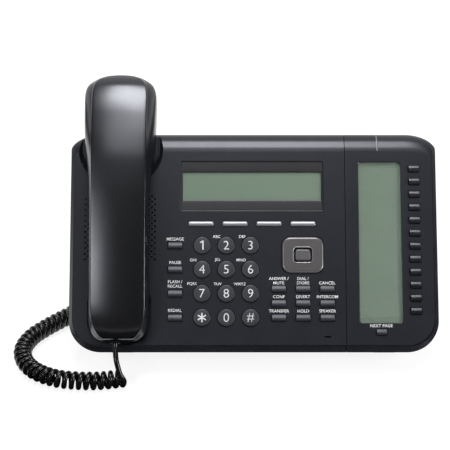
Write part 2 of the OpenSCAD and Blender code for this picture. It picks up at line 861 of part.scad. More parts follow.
// The sections that a shell or its inside runs through
function stations(inset) = let (last = len(SECTIONS) - 1) [
    for (i = [0:last]) if (inset == 0 || i == 0 || i == last || i > 2 && i < last - 1) i
];
function station_v(i, inset) = SECTIONS[i][0] + (i == 0 ? inset : i == len(SECTIONS) - 1 ? -inset : 0);

module face_solid(inset, gap) {
    skin([for (i = stations(inset)) let (s = SECTIONS[i], v = station_v(i, inset))
        face_ring(v, s[1] - inset, s[3] + inset, s[4] - gap)]);
}
module back_solid(inset, gap) {
    skin([for (i = stations(inset)) let (s = SECTIONS[i], v = station_v(i, inset))
        back_ring(v, s[1] - inset, s[2] - inset, s[4] + gap, s[5] - inset)]);
}

// Outline of the ear cap
module ear_cap(r) {
    for (v = ear_cap_v) translate([handset_u, v]) circle(r);
    translate([handset_u - r, ear_cap_v[0]]) square([2 * r, ear_cap_v[1] - ear_cap_v[0]]);
}

module handset_back() {
    color(gloss_black) panel() difference() {
        back_solid(0, parting_gap);
        back_solid(handset_wall, -past);
    }
}

module handset_face() {
    cap_w = ear_pocket_t - run_gap;
    mouth_w = mouth_pocket_t - run_gap;
    color(gloss_black) panel() difference() {
        union() {
            face_solid(0, parting_gap);
            between(-ear_cap_top, cap_w) ear_cap(ear_cap_r);
            between(0, mouth_w) translate([handset_u, mouth_cap_v]) circle(mouth_cap_r);
        }
        difference() {
            face_solid(handset_wall, -past);
            between(-receiver_sink, cap_w) ear_cap(receiver_d / 2 + handset_wall);
            between(-microphone_sink, mouth_w)
                translate([handset_u, mouth_cap_v]) circle(microphone_d / 2 + handset_wall);
        }
        between(-receiver_t, cap_w - handset_wall)
            translate([handset_u, receiver_v]) circle(receiver_d / 2 + fit_gap);
        between(-microphone_t, mouth_w - handset_wall)
            translate([handset_u, mouth_cap_v]) circle(microphone_d / 2 + fit_gap);
        between(0, cap_w + past) translate([handset_u, receiver_v]) for (a = [0:60:300])
            rotate(a) translate([sound_ring, 0]) circle(sound_hole_r);
        between(0, mouth_w + past) translate([handset_u, mouth_cap_v]) circle(sound_hole_r);
        translate([plug_u - plug_w / 2 - fit_gap, 0, plug_mid_w - plug_h / 2 - fit_gap])
            cube([plug_w + 2 * fit_gap, handset_end_v - plug_out + plug_l, plug_h + 2 * fit_gap]);
    }
}

module earpiece() {
    color("#4a4a4c") panel() between(-receiver_t + past, ear_pocket_t - run_gap - handset_wall)
        translate([handset_u, receiver_v]) circle(receiver_d / 2);
}

module microphone() {
    color(silver) panel() between(-microphone_t + past, mouth_pocket_t - run_gap - handset_wall)
        translate([handset_u, mouth_cap_v]) circle(microphone_d / 2);
}

// ---------------------------------------------------------------- cord

module handset_plug() {
    color("#e4e2da") panel()
        translate([plug_u - plug_w / 2, handset_end_v - plug_out, plug_mid_w - plug_h / 2])
            cube([plug_w, plug_l, plug_h]);
}

module base_plug() {
    color("#e4e2da") panel() between(total_t - plug_l, total_t + base_plug_out)
        translate([jack_u, jack_v]) square([plug_w, plug_h], center = true);
}

module cord_lead() {
    start = to_table(plug_u, handset_end_v - plug_out, plug_mid_w);
    color(rubber) tube(concat([start], LEAD_ROUTE), cord_d, lead_sides, [1, 0, 0], down_slope, [0, 0, -1]);
}

module cord_coil() {
    last = len(COIL_ROUTE) - 1;
    color(rubber) tube(COIL_ROUTE, coil_d, coil_sides, [0, 0, 1],
        unit(COIL_ROUTE[1] - COIL_ROUTE[0]), unit(COIL_ROUTE[last] - COIL_ROUTE[last - 1]));
}

module rear_lead() {
    last = len(COIL_ROUTE) - 1;
    finish = to_table(jack_u, jack_v, -total_t - base_plug_out);
    color(rubber) tube(concat(REAR_ROUTE, [finish]), cord_d, lead_sides, [1, -1, 0],
        unit(COIL_ROUTE[last] - COIL_ROUTE[last - 1]), -away_back);
}

// ---------------------------------------------------------------- keys

// A key: cap through its hole, flange behind the panel and stem
module key_body(flange, stem) {
    between(-key_rise, flange_top) children(0);
    between(flange_top, flange_top + flange_t) children(flange);
    between(flange_top, stem_end) circle(stem);
}
module small_key(w, h, tint) {
    color(tint) key_body(1, stem_r) {
        pill(w, h, small_r);
        pill(w + 2 * (key_gap + key_flange), h + 2 * (key_gap + key_flange), small_r);
    }
}
module dial_key(i) {
    color(key_colour) panel() translate(dial_place(i)) key_body(1, stem_r) {
        circle(dial_d / 2);
        circle(dial_d / 2 + key_gap + key_flange);
    }
}
module soft_key(i) panel() translate(soft_place(i)) small_key(soft_w, soft_h, silver);
module left_key(i) panel() translate(left_place(i)) small_key(fn_w, fn_h, key_colour);
module function_key(i) panel() translate(fn_place(i)) small_key(fn_w, fn_h, key_colour);
module page_key() panel() translate([label_u, page_v]) small_key(page_w, page_h, key_colour);
module line_keys() panel()
    for (i = [0:line_n - 1]) translate(line_place(i)) small_key(line_w, line_h, key_colour);

// Where the navigation key presses on the mat
module nav_spots() {
    for (side = [-1, 1]) {
        translate([fn_u + side * nav_spot_u, nav_v]) children();
        translate([fn_u, nav_v + side * nav_spot_v]) children();
    }
}
module navigation_key() {
    hole_w = centre_w + 2 * centre_gap;
    hole_h = centre_h + 2 * centre_gap;
    color("#555355") panel() {
        between(-key_rise, nav_bottom) translate([fn_u, nav_v]) difference() {
            pill(nav_w, nav_h, nav_r);
            pill(hole_w, hole_h, nav_hole_r);
        }
        between(flange_top, nav_bottom) translate([fn_u, nav_v]) difference() {
            square([nav_w + 2 * (key_gap + key_flange), nav_tab], center = true);
            pill(hole_w, hole_h, nav_hole_r);
        }
        between(nav_bottom, stem_end) nav_spots() circle(nav_stem_r);
    }
}
module centre_key() {
    color(silver) panel() translate([fn_u, nav_v]) {
        flange = centre_gap + key_flange;
        between(-key_rise, stem_end) pill(centre_w, centre_h, centre_r);
        between(centre_flange_top, centre_flange_top + flange_t)
            pill(centre_w + 2 * flange, centre_h + 2 * flange, centre_r);
    }
}

// ---------------------------------------------------------------- pieces

front_cover();
side_cover();
rear_cover();
message_lamp();
display_bezel();
display_window();
display_panel();
label_window();
label_panel();
main_board();
key_mat();
loudspeaker();
jack_block();
case_screws();
front_feet();
hook_switch();
stand();
stand_feet();
handset_back();
handset_face();
earpiece();
microphone();
handset_plug();
base_plug();
cord_lead();
cord_coil();
rear_lead();
for (i = [0:11]) dial_key(i);
for (i = [0:3]) soft_key(i);
for (i = [0:3]) left_key(i);
for (i = [0:8]) function_key(i);
navigation_key();
centre_key();
page_key();
line_keys();
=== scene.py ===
import math

import bmesh
import bpy
from mathutils import Matrix, Vector


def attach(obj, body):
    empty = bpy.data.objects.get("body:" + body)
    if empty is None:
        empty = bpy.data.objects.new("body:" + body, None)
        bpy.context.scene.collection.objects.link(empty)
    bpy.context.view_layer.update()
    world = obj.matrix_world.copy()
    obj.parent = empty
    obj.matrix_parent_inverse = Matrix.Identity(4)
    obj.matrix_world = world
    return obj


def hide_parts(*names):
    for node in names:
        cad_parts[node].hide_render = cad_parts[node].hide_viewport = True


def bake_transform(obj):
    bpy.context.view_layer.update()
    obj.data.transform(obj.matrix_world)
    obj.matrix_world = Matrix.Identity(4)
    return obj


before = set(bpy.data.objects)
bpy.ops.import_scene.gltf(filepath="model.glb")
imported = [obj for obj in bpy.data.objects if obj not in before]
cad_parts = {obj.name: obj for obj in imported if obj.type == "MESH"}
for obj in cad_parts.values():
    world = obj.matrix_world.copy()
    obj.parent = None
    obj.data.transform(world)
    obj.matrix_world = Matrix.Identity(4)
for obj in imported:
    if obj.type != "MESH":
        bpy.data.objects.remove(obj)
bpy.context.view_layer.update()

scene = bpy.context.scene

# ---------------------------------------------------------------- studio
# A desk telephone stands on a pale floor, lit by a softbox and a dimmer scrim overhead, a softbox at
# its left front and one at its right. Its face lies on one slope, and its pieces are drawn flat in
# millimetres: u to the right, v up the slope from the front edge, w out of the face.
MM = 0.001
TILT = math.radians(48)
BASE_T = 27
FOOT_T = 2
FRONT_Y = -66
LIFT = BASE_T * math.cos(TILT) + FOOT_T
FACE = Matrix.Scale(MM, 4) @ Matrix.Translation((0, FRONT_Y, LIFT)) @ Matrix.Rotation(TILT, 4, "X")

# The camera looks at one point of the face, a little below square to it
LOOK_U, LOOK_V = -20.5, 92.5
BELOW_SQUARE = math.radians(11)
CAMERA_AWAY = 1300
SENSOR = 36
PICTURE = 450
MM_PER_PIXEL = 0.7155

FLOOR_R = 9
# The black cards in metres, by two corners each: in front of the telephone, at its right and left
CARDS = [((-0.7, -0.7), (0.9, -0.066)), ((0.15, -0.066), (0.9, 0.7)), ((-1.3, -0.066), (-0.44, 0.7))]
CARD_LIFT = 0.0004


def linear(code):
    """An sRGB hex value as the linear colour that nodes take."""
    levels = [int(code[i:i + 2], 16) / 255 for i in (1, 3, 5)]
    return [*(c / 12.92 if c < 0.04045 else ((c + 0.055) / 1.055) ** 2.4 for c in levels), 1]


def add_node(tree, kind, inputs=None, **settings):
    """Adds a node, sets it up, and fills or links its inputs by name or number."""
    node = tree.nodes.new(kind)
    for name, value in settings.items():
        setattr(node, name, value)
    for name, value in (inputs or {}).items():
        if isinstance(value, bpy.types.NodeSocket):
            tree.links.new(value, node.inputs[name])
        else:
            node.inputs[name].default_value = value
    return node


def add_camera():
    lens = CAMERA_AWAY / MM_PER_PIXEL / PICTURE * SENSOR
    data = bpy.data.cameras.new("camera")
    data.sensor_width = SENSOR
    data.lens = lens
    camera = bpy.data.objects.new("camera", data)
    scene.collection.objects.link(camera)
    down = CAMERA_AWAY * math.sin(BELOW_SQUARE)
    out = CAMERA_AWAY * math.cos(BELOW_SQUARE)
    camera.location = FACE @ Vector((LOOK_U, LOOK_V - down, out))
    camera.rotation_euler = (TILT + BELOW_SQUARE, 0, 0)
    scene.camera = camera


def add_softbox(name, place, aim, size, radiance):
    """A rectangular light of a given radiance, turned to a point."""
    data = bpy.data.lights.new(name, "AREA")
    data.shape = "RECTANGLE"
    data.size, data.size_y = size
    data.energy = radiance * math.pi * size[0] * size[1]
    light = bpy.data.objects.new(name, data)
    scene.collection.objects.link(light)
    light.location = place
    light.rotation_euler = (Vector(aim) - Vector(place)).to_track_quat("-Z", "Y").to_euler()
    light.visible_camera = False


def light_room():
    """The room is bright behind the telephone and dim in front, as on a white sweep."""
    world = bpy.data.worlds.new("room")
    scene.world = world
    world.use_nodes = True
    tree = world.node_tree
    tree.nodes.clear()
    place = add_node(tree, "ShaderNodeTexCoord")
    split = add_node(tree, "ShaderNodeSeparateXYZ", {"Vector": place.outputs["Generated"]})
    level = add_node(tree, "ShaderNodeMapRange", {
        "Value": split.outputs["Y"], "From Min": 0.1, "From Max": 0.8,
        "To Min": 0.06, "To Max": 0.9}, interpolation_type="SMOOTHSTEP")
    light = add_node(tree, "ShaderNodeBackground", {"Strength": level.outputs["Result"]})
    add_node(tree, "ShaderNodeOutputWorld", {"Surface": light.outputs["Background"]})


def new_finish(name, sockets):
    """A material, its node tree and its shader, with the shader's even sockets set."""
    finish = bpy.data.materials.new(name)
    finish.use_nodes = True
    tree = finish.node_tree
    shader = tree.nodes["Principled BSDF"]
    for socket, value in sockets.items():
        shader.inputs[socket].default_value = value
    return finish, tree, shader


def new_object(bm, name, finish):
    """A drawn mesh as an object of the scene."""
    mesh = bpy.data.meshes.new(name)
    bm.to_mesh(mesh)
    bm.free()
    mesh.materials.append(finish)
    thing = bpy.data.objects.new(name, mesh)
    scene.collection.objects.link(thing)
    return thing


def lay_floor():
    """A wide pale floor that keeps a faint shadow."""
    bm = bmesh.new()
    bmesh.ops.create_circle(bm, cap_ends=True, segments=64, radius=FLOOR_R)
    paper, tree, _ = new_finish("white_paper_sweep", {})
    tree.nodes.clear()
    path = add_node(tree, "ShaderNodeLightPath")
    looked_at = path.outputs["Is Camera Ray"]
    for kind in ("Is Glossy Ray", "Is Transmission Ray"):
        looked_at = add_node(tree, "ShaderNodeMath", {
            0: looked_at, 1: path.outputs[kind]}, operation="MAXIMUM").outputs["Value"]
    matt = add_node(tree, "ShaderNodeBsdfDiffuse", {"Color": linear("#efefef")})
    dim = add_node(tree, "ShaderNodeBsdfDiffuse", {"Color": linear("#949494")})
    glow = add_node(tree, "ShaderNodeEmission", {"Color": linear("#ffffff"), "Strength": 0.85})
    seen = add_node(tree, "ShaderNodeAddShader", {0: dim.outputs["BSDF"], 1: glow.outputs["Emission"]})
    both = add_node(tree, "ShaderNodeMixShader", {
        "Fac": looked_at, 1: matt.outputs["BSDF"], 2: seen.outputs["Shader"]})
    add_node(tree, "ShaderNodeOutputMaterial", {"Surface": both.outputs["Shader"]})
    new_object(bm, "floor", paper)


def lay_cards():
    """Black velvet cards round the telephone, which only its mirror images show."""
    bm = bmesh.new()
    for low, high in CARDS:
        size = Matrix.Diagonal(((high[0] - low[0]) / 2, (high[1] - low[1]) / 2, 1, 1))
        middle = Matrix.Translation(((low[0] + high[0]) / 2, (low[1] + high[1]) / 2, CARD_LIFT))
        bmesh.ops.create_grid(bm, x_segments=1, y_segments=1, size=1, matrix=middle @ size)
    velvet, _, _ = new_finish("black_velvet_card", {"Base Color": linear("#0c0c0d"), "Roughness": 0.9})
    cards = new_object(bm, "black_cards", velvet)
    cards.visible_camera = cards.visible_diffuse = cards.visible_shadow = False


scene.view_settings.view_transform = "Standard"
add_camera()
light_room()
add_softbox("overhead_softbox", (-0.01, 0.13, 1.3), (-0.03, 0.05, 0.1), (0.54, 0.52), 11.5)
add_softbox("overhead_scrim", (-0.05, -0.38, 1.2), (-0.05, 0.03, 0.1), (0.55, 0.42), 2.2)
add_softbox("left_softbox", (-0.55, -0.656, 0.62), (-0.095, -0.03, 0.1), (0.4, 0.2), 7)
add_softbox("right_softbox", (0.6, -0.36, 0.3), (-0.095, -0.03, 0.1), (0.3, 0.22), 12)
lay_floor()
lay_cards()

# ---------------------------------------------------------------- handset cord
# A flexible cord of glossy black PVC, wound hot on a rod into a close coil. It leaves the plug in
# the foot of the handset as a straight lead, lies on the desk round the left side of the base, and
# rises behind it to the handset socket.
CORD_D = 3.8
COIL_D = 13.5
COIL_PITCH = 5.1
COIL_START = math.radians(165)
TURN_STEPS = 16
PLUG_U = -97.5
# Points of the three stretches: the lead and the rear lead in the air, the coil on the desk
LEAD_ROUTE = [(-96.7, -76.7, 22), (-94.6, -80.9, 15)]
COIL_ROUTE = [
    (-92, -77), (-108, -80), (-124, -80), (-140, -77), (-154, -69), (-163, -57),
    (-166, -42), (-161, -26), (-150, -12), (-137, 1), (-124, 13), (-112, 22),
]
REAR_ROUTE = [
    (-105, 27, 6), (-102, 33, 13), (-100, 40, 24), (-99, 46, 38),
    (-98, 51, 54), (-98, 54, 67), (-98, 52.5, 78),
]
JACK_U = -98
JACK_V = 125
BASE_PLUG_OUT = 7
HANDSET_PLUG = (PLUG_U, 6, 8)
# How far the cord runs straight out of each plug
LEAD_OUT, REAR_OUT = 3.5, 6


def smooth_route(points, step, measure=lambda leg: leg.length):
    """Points every step millimetres along a Catmull-Rom curve through the given ones."""
    ends = [points[0] * 2 - points[1], *points, points[-1] * 2 - points[-2]]
    route = []
    for a, b, c, d in zip(ends, ends[1:], ends[2:], ends[3:]):
        count = max(2, round(measure(c - b) / step))
        for i in range(count):
            t = i / count
            route.append(0.5 * (2 * b + (c - a) * t + (2 * a - 5 * b + 4 * c - d) * t ** 2
                                + (3 * b - 3 * c + d - a) * t ** 3))
    return [*route, points[-1]]


def swing(before, start, end, after):
    """Points of one curve from start to end that leaves and arrives in line with its neighbours."""
    reach = 1.3 * (end - start).length
    leave, arrive = reach * (start - before).normalized(), reach * (after - end).normalized()
    count = round(reach)
    curve = []
    for i in range(1, count):
        t = i / count
        curve.append((2 * t ** 3 - 3 * t ** 2 + 1) * start + (t ** 3 - 2 * t ** 2 + t) * leave
                     + (3 * t ** 2 - 2 * t ** 3) * end + (t ** 3 - t ** 2) * arrive)
    return curve


def coil_turns():
    """The helix round the coil's route, a turn to each pitch, lying on the desk."""
    middle = smooth_route([Vector((x, y, COIL_D / 2)) for x, y in COIL_ROUTE], COIL_PITCH / TURN_STEPS)
    turn = (COIL_D - CORD_D) / 2
    up = Vector((0, 0, 1))
    travel = 0
    wire = []
    for behind, here in zip(middle, middle[1:]):
        ahead = here - behind
        travel += ahead.length
        side = ahead.normalized().cross(up)
        angle = COIL_START + 2 * math.pi * travel / COIL_PITCH
        wire.append(here + turn * (math.cos(angle) * side + math.sin(angle) * up))
    return wire


def cord_centreline():
    """The whole cord in millimetres: lead, coil and rear lead."""
    face_mm = Matrix.Scale(1 / MM, 4) @ FACE
    plug = face_mm @ Vector(HANDSET_PLUG)
    jack = face_mm @ Vector((JACK_U, JACK_V, -BASE_T - BASE_PLUG_OUT))
    out = (face_mm.to_3x3() @ Vector((0, -1, 0))).normalized()
    wire = coil_turns()
    lead = [plug, plug + LEAD_OUT * out, *(Vector(p) for p in LEAD_ROUTE)]
    lead = [*smooth_route(lead, 1), *swing(lead[-2], lead[-1], wire[0], wire[1])]
    rear = [Vector(p) for p in REAR_ROUTE]
    away = (face_mm.to_3x3() @ Vector((0, 0, -1))).normalized()

    def heading(k):
        """How well the wire points at the start of the rear lead there."""
        return (wire[k] - wire[k - 1]).normalized().dot((rear[0] - wire[k]).normalized())

    last = max(range(len(wire) - TURN_STEPS, len(wire)), key=heading)
    joint = swing(wire[last - 1], wire[last], rear[0], rear[1])
    rear = smooth_route([*rear, jack + REAR_OUT * away, jack], 1.5)
    return [*lead, *wire[:last + 1], *joint, *rear]


def draw_wire(centreline, radius):
    """A round tube along a line, drawn as a bevelled curve and made a mesh."""
    curve = bpy.data.curves.new("wire", "CURVE")
    curve.dimensions = "3D"
    curve.bevel_depth, curve.bevel_resolution, curve.use_fill_caps = radius, 3, True
    spline = curve.splines.new("POLY")
    spline.points.add(len(centreline) - 1)
    for knot, place in zip(spline.points, centreline):
        knot.co = (*place, 1)
    carrier = bpy.data.objects.new("wire", curve)
    bm = bmesh.new()
    bm.from_mesh(bpy.data.meshes.new_from_object(carrier))
    bpy.data.objects.remove(carrier)
    bmesh.ops.remove_doubles(bm, verts=bm.verts, dist=0.0001)
    bmesh.ops.recalc_face_normals(bm, faces=bm.faces)
    return bm


def grained_finish(name, colour, shade, roughness, grain, depth, **sockets):
    """Moulded plastic, rubber, ink, paint or plated metal: a grain of that size in millimetres,
    raised by depth micrometres, with a slight drift of its colour and gloss."""
    finish, tree, shader = new_finish(name, {"Roughness": roughness, **sockets})
    place = add_node(tree, "ShaderNodeTexCoord")
    drift = add_node(tree, "ShaderNodeTexNoise", {
        "Vector": place.outputs["Object"], "Scale": 60, "Detail": 3})
    speckle = add_node(tree, "ShaderNodeTexNoise", {
        "Vector": place.outputs["Object"], "Scale": 1 / (grain * MM), "Detail": 2})
    mixed = add_node(tree, "ShaderNodeMath", {
        0: drift.outputs["Fac"], 1: speckle.outputs["Fac"]}, operation="MULTIPLY")
    amount = add_node(tree, "ShaderNodeMapRange", {
        "Value": mixed.outputs["Value"], "From Min": 0.12, "From Max": 0.38})
    tint = add_node(tree, "ShaderNodeMix", {
        0: amount.outputs["Result"], 6: linear(colour), 7: linear(shade)}, data_type="RGBA")
    gloss = add_node(tree, "ShaderNodeMapRange", {
        "Value": drift.outputs["Fac"], "From Min": 0.3, "From Max": 0.7,
        "To Min": roughness - 0.01, "To Max": roughness + 0.01})
    bump = add_node(tree, "ShaderNodeBump", {
        "Height": speckle.outputs["Fac"], "Strength": 1, "Distance": depth * MM * MM})
    tree.links.new(tint.outputs[2], shader.inputs["Base Color"])
    tree.links.new(gloss.outputs["Result"], shader.inputs["Roughness"])
    tree.links.new(bump.outputs["Normal"], shader.inputs["Normal"])
    return finish


def settle(bm, name, finish, body, place=FACE, sharp=30):
    """Makes a drawn mesh a piece on a body, smooth but for its sharp edges."""
    bmesh.ops.transform(bm, matrix=place, verts=bm.verts)
    piece = new_object(bm, name, finish)
    piece.data.shade_smooth()
    piece.data.set_sharp_from_angle(angle=math.radians(sharp))
    even = piece.modifiers.new("even_shading", "WEIGHTED_NORMAL")
    even.keep_sharp = True
    if body:
        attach(piece, body)
    return piece


def lay_cord():
    line = cord_centreline()
    cord = settle(draw_wire(line, CORD_D / 2), "handset_cord", cord_pvc, None, Matrix.Scale(MM, 4), 80)
    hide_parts("cord_lead", "cord_coil", "rear_lead")
    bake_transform(cord)


# Glossy flexible PVC, extruded: smooth and wet-looking, with a faint draw texture
cord_pvc = grained_finish("extruded_black_pvc", "#0b0b0d", "#141417", 0.22, 1.2, 6)
lay_cord()

# ---------------------------------------------------------------- front cover
# The left and middle of the telephone's face, with the cradle's two pockets: one shell of black
# ABS, injection moulded in a steel mould with a fine spark-eroded grain. It is screwed to the
# rear cover from behind, and its top edge rolls over in one large radius.
BODY_W = 263.2
BODY_L = 161.8
COVER_T = 15
WALL = 2.4
ROLL_R = 13.5
ROLL_L = 15.6
CORNER_R = 23
SHOULDER_W = 22
SHOULDER_H = 11
SHOULDER_START = 0.45
BAND_OUT, BAND_T = 3.1, 5
FRONT_V, FRONT_BAND = 1.5, 1
DRAFT = 0.2
RIM_R, RIM_STEPS = 0.9, 4
ROLL_DEPTHS = (1.6, 2.6, 3.8, BAND_T, 5.6, 6.8, 8.2, 9.8, 11.6, ROLL_R)
GROOVE_T = 1.4
GROOVE_OUT, GROOVE_IN = 0.6, 0.35
EDGE_END_V = 150
CORNER_STEPS = 16
SEAM_U = 65.6
SEAM_GAP = 0.4
PAST = 1
HANDSET_U = -95.5

EAR_V = 148
EAR_T = 5
# The ear pocket by its two radii and its height, from above the face down to its floor
EAR_RINGS = [(31.1, 30.6, 1), (30.5, 28, 0), (28.3, 17.4, -4.6), (27.9, 16.4, -5.6),
             (27, 15, -5.6), (26.6, 14.4, -5)]
EAR_WALL_U, EAR_WALL_V = 32.9, 30.4
EAR_PAST = 4
MOUTH_T = 4
MOUTH_W, MOUTH_L, MOUTH_V, MOUTH_R = 45.4, 47, 29.5, 17

ROW_V = 25.5
KEY_GAP = 0.35
DIAL_U, DIAL_DU, DIAL_DV, DIAL_D = -19.6, 17.25, 17.35, 12.3
DIAL_PLACES = [(DIAL_U + DIAL_DU * (i % 3 - 1), ROW_V + DIAL_DV * (3 - i // 3)) for i in range(12)]
LEFT_PLACES = [(-56, ROW_V + DIAL_DV * (3 - i)) for i in range(4)]
FUNCTION_PLACES = [(35 + DIAL_DU * (i % 3 - 1), ROW_V + 10.4 * (2 - i // 3)) for i in range(9)]
SMALL_KEY = (10.4, 4.8)
SOFT_PLACES = [(-1.2 + 24.3 * (i - 1.5), 93.4) for i in range(4)]
SOFT_KEY = (17.6, 3.4)
KEY_R = 0.8
NAV_PLACE = (35, ROW_V + 2.6 * DIAL_DV)
NAV_W, NAV_H, NAV_R = 29.3, 25.5, 5.8
NAV_GAP = 0.5
FRAME_U, FRAME_V, FRAME_W, FRAME_H, FRAME_R = -1.2, 121.2, 101.8, 36, 1
FRAME_FLARE = 0.6
MIC_PLACE, MIC_SLOT = (52.3, 11.9), (4.7, 1.1)
SPEAKER_V, SPEAKER_HALF_U, SPEAKER_HALF_V = 91.5, 26.5, 26
HOLE_D = 1.5
HOLE_DU, HOLE_DV = 2.067, 4
HOLE_PLACES = [(HANDSET_U + HOLE_DU * i, SPEAKER_V + HOLE_DV * (j + (i % 2) / 2))
               for i in range(-12, 13) for j in range(-6, 6)]
CRADLE_HALF = 32
CRADLE_EDGE_R, FINE_EDGE_R = 0.6, 0.22
TICK_V, TICK_L, TICK_W, TICK_T = 99.5, 3.7, 0.5, 0.4
HOOK_V, HOOK_HOLE = 144, (9.6, 5.6)


def arc(centre, ru, rv, start, end, steps):
    """Points of part of an ellipse, between two angles in degrees."""
    angles = [math.radians(start + (end - start) * i / steps) for i in range(steps + 1)]
    return [(centre[0] + ru * math.cos(a), centre[1] + rv * math.sin(a)) for a in angles]


def rounded(place, width, height, radius, steps=5):
    """The outline of a rectangle with round corners."""
    u, v = width / 2 - radius, height / 2 - radius
    corners = [(u, -v, -90), (u, v, 0), (-u, v, 90), (-u, -v, 180)]
    return [p for cu, cv, a in corners
            for p in arc((place[0] + cu, place[1] + cv), radius, radius, a, a + 90, steps)]


def circle(place, radius, steps):
    return arc(place, radius, radius, 0, 360 - 360 / steps, steps - 1)


def level(outline, w):
    """An outline as a ring of points at one height."""
    return [(u, v, w) for u, v in outline]


def key_hole(place, size):
    """The opening round a rectangular key."""
    return rounded(place, size[0] + 2 * KEY_GAP, size[1] + 2 * KEY_GAP, KEY_R)


def draw_loops(bm, rings):
    """Each ring of points as a closed loop of edges."""
    loops = []
    for ring in rings:
        verts = [bm.verts.new(p) for p in ring]
        loops.append([bm.edges.new(pair) for pair in zip(verts, verts[1:] + verts[:1])])
    return loops


def loft(bm, rings):
    """A closed solid through rings of as many points, each bridged to the next."""
    loops = draw_loops(bm, rings)
    faces = []
    for low, high in zip(loops, loops[1:]):
        faces += bmesh.ops.bridge_loops(bm, edges=low + high)["faces"]
    for end in (loops[0], loops[-1]):
        faces += bmesh.ops.contextual_create(bm, geom=end)["faces"]
    bmesh.ops.recalc_face_normals(bm, faces=faces)


def plates(bm, outlines, top, bottom):
    """Flat plates of these outlines, between two depths below the face."""
    faces = [bm.faces.new([bm.verts.new((u, v, -bottom)) for u, v in line]) for line in outlines]
    grown = bmesh.ops.extrude_face_region(bm, geom=faces)["geom"]
    raised = [part for part in grown if isinstance(part, bmesh.types.BMVert)]
    bmesh.ops.translate(bm, vec=(0, 0, bottom - top), verts=raised)
    bmesh.ops.recalc_face_normals(bm, faces=bm.faces)


def carve(solid, cutter, operation="DIFFERENCE"):
    """Cuts one drawn solid with another, and gives what is left."""
    pair = []
    for bm in (solid, cutter):
        mesh = bpy.data.meshes.new("work")
        bm.to_mesh(mesh)
        bm.free()
        pair.append(bpy.data.objects.new("work", mesh))
        scene.collection.objects.link(pair[-1])
    cut = pair[0].modifiers.new("cut", "BOOLEAN")
    cut.object, cut.operation, cut.solver = pair[1], operation, "MANIFOLD"
    graph = bpy.context.evaluated_depsgraph_get()
    rest = bmesh.new()
    rest.from_mesh(pair[0].evaluated_get(graph).to_mesh())
    for piece in pair:
        bpy.data.meshes.remove(piece.data)
    bmesh.ops.dissolve_degenerate(rest, dist=0.0001, edges=rest.edges)
    return rest


def cut_plates(solid, *cuts):
    """Cuts flat plates out of a solid, each cut given as for plates."""
    cutter = bmesh.new()
    for outlines, top, bottom in cuts:
        plates(cutter, outlines, top, bottom)
    return carve(solid, cutter)


def round_edges(bm, width, chosen, segments=2):
    """Rounds the sharp edges on the face of a cover that chosen picks by their middle."""
    edges = []
    for edge in bm.edges:
        middle = (edge.verts[0].co + edge.verts[1].co) / 2
        flat = all(abs(vert.co.z) < 0.001 for vert in edge.verts)
        if flat and edge.is_manifold and edge.calc_face_angle() > 0.9 and chosen(middle):
            edges.append(edge)
    bmesh.ops.bevel(bm, geom=edges, offset=width, segments=segments, profile=0.5, material=-1,
                    affect="EDGES", clamp_overlap=True)


def stand_in(depth):
    """How far the wall stands in from the foot of the sloped band."""
    return BAND_OUT * (1 - depth / BAND_T) if depth < BAND_T else DRAFT * (depth - BAND_T)


def cover_ring(inset, depth, rim):
    """One ring of the cover at a depth below the face, drawn in by rim at the rounded edge."""
    r = ROLL_R - inset
    turn = math.acos(max(0, 1 - (depth - inset) / r))
    into = inset + stand_in(depth) + rim
    half = BODY_W / 2 - into
    front = FRONT_V + into + FRONT_BAND * max(0, 1 - depth / BAND_T)
    top = BODY_L - ROLL_L + (ROLL_L - inset) * math.sin(turn)
    corner = CORNER_R - into
    ru = SHOULDER_W - into
    rv = (SHOULDER_H - inset) * (SHOULDER_START + (1 - SHOULDER_START) * math.sin(turn))
    return level([
        *arc((half - corner, front + corner), corner, corner, -90, 0, CORNER_STEPS),
        *arc((half - ru, top - rv), ru, rv, 0, 90, CORNER_STEPS),
        *arc((ru - half, top - rv), ru, rv, 90, 180, CORNER_STEPS),
        *arc((corner - half, front + corner), corner, corner, 180, 270, CORNER_STEPS)], -depth)


def cover_body(inset, bottom):
    """The solid inside the covers' outer face, or inset by the wall."""
    bm = bmesh.new()
    slope = math.atan2(BAND_T, BAND_OUT)
    rings = []
    for i in range(RIM_STEPS + 1):
        a = slope * i / RIM_STEPS
        along = RIM_R * math.tan(slope / 2) - RIM_R * math.sin(a)
        below = RIM_R * (1 - math.cos(a))
        rings.append(cover_ring(inset, inset + below, along + BAND_OUT / BAND_T * below))
    for depth in ROLL_DEPTHS:
        if depth > inset + 0.8:
            rings.append(cover_ring(inset, depth, 0))
    rings.append(cover_ring(inset, bottom, 0))
    loft(bm, rings)
    return bm


def edge_line(rim):
    """The line round the flat face where the sloped band starts, drawn in by rim."""
    half = BODY_W / 2 - BAND_OUT - rim
    front = FRONT_V + BAND_OUT + FRONT_BAND + rim
    r = CORNER_R - BAND_OUT - rim
    return [(-half, EDGE_END_V), *arc((r - half, front + r), r, r, 180, 270, CORNER_STEPS),
            *arc((half - r, front + r), r, r, -90, 0, CORNER_STEPS), (half, EDGE_END_V)]


def cover_part(side):
    """The outer solid of the front cover (-1) or of the side cover (1), parted at the seam."""
    groove = edge_line(-GROOVE_OUT) + edge_line(GROOVE_IN)[::-1]
    bm = cut_plates(cover_body(0, COVER_T), ([groove], -PAST, GROOVE_T))
    cut = bmesh.ops.bisect_plane(
        bm, geom=[*bm.verts, *bm.edges, *bm.faces], plane_co=(SEAM_U + side * SEAM_GAP / 2, 0, 0),
        plane_no=(side, 0, 0), clear_inner=True)["geom_cut"]
    bmesh.ops.contextual_create(bm, geom=[part for part in cut if isinstance(part, bmesh.types.BMEdge)])
    bmesh.ops.recalc_face_normals(bm, faces=bm.faces)
    return bm


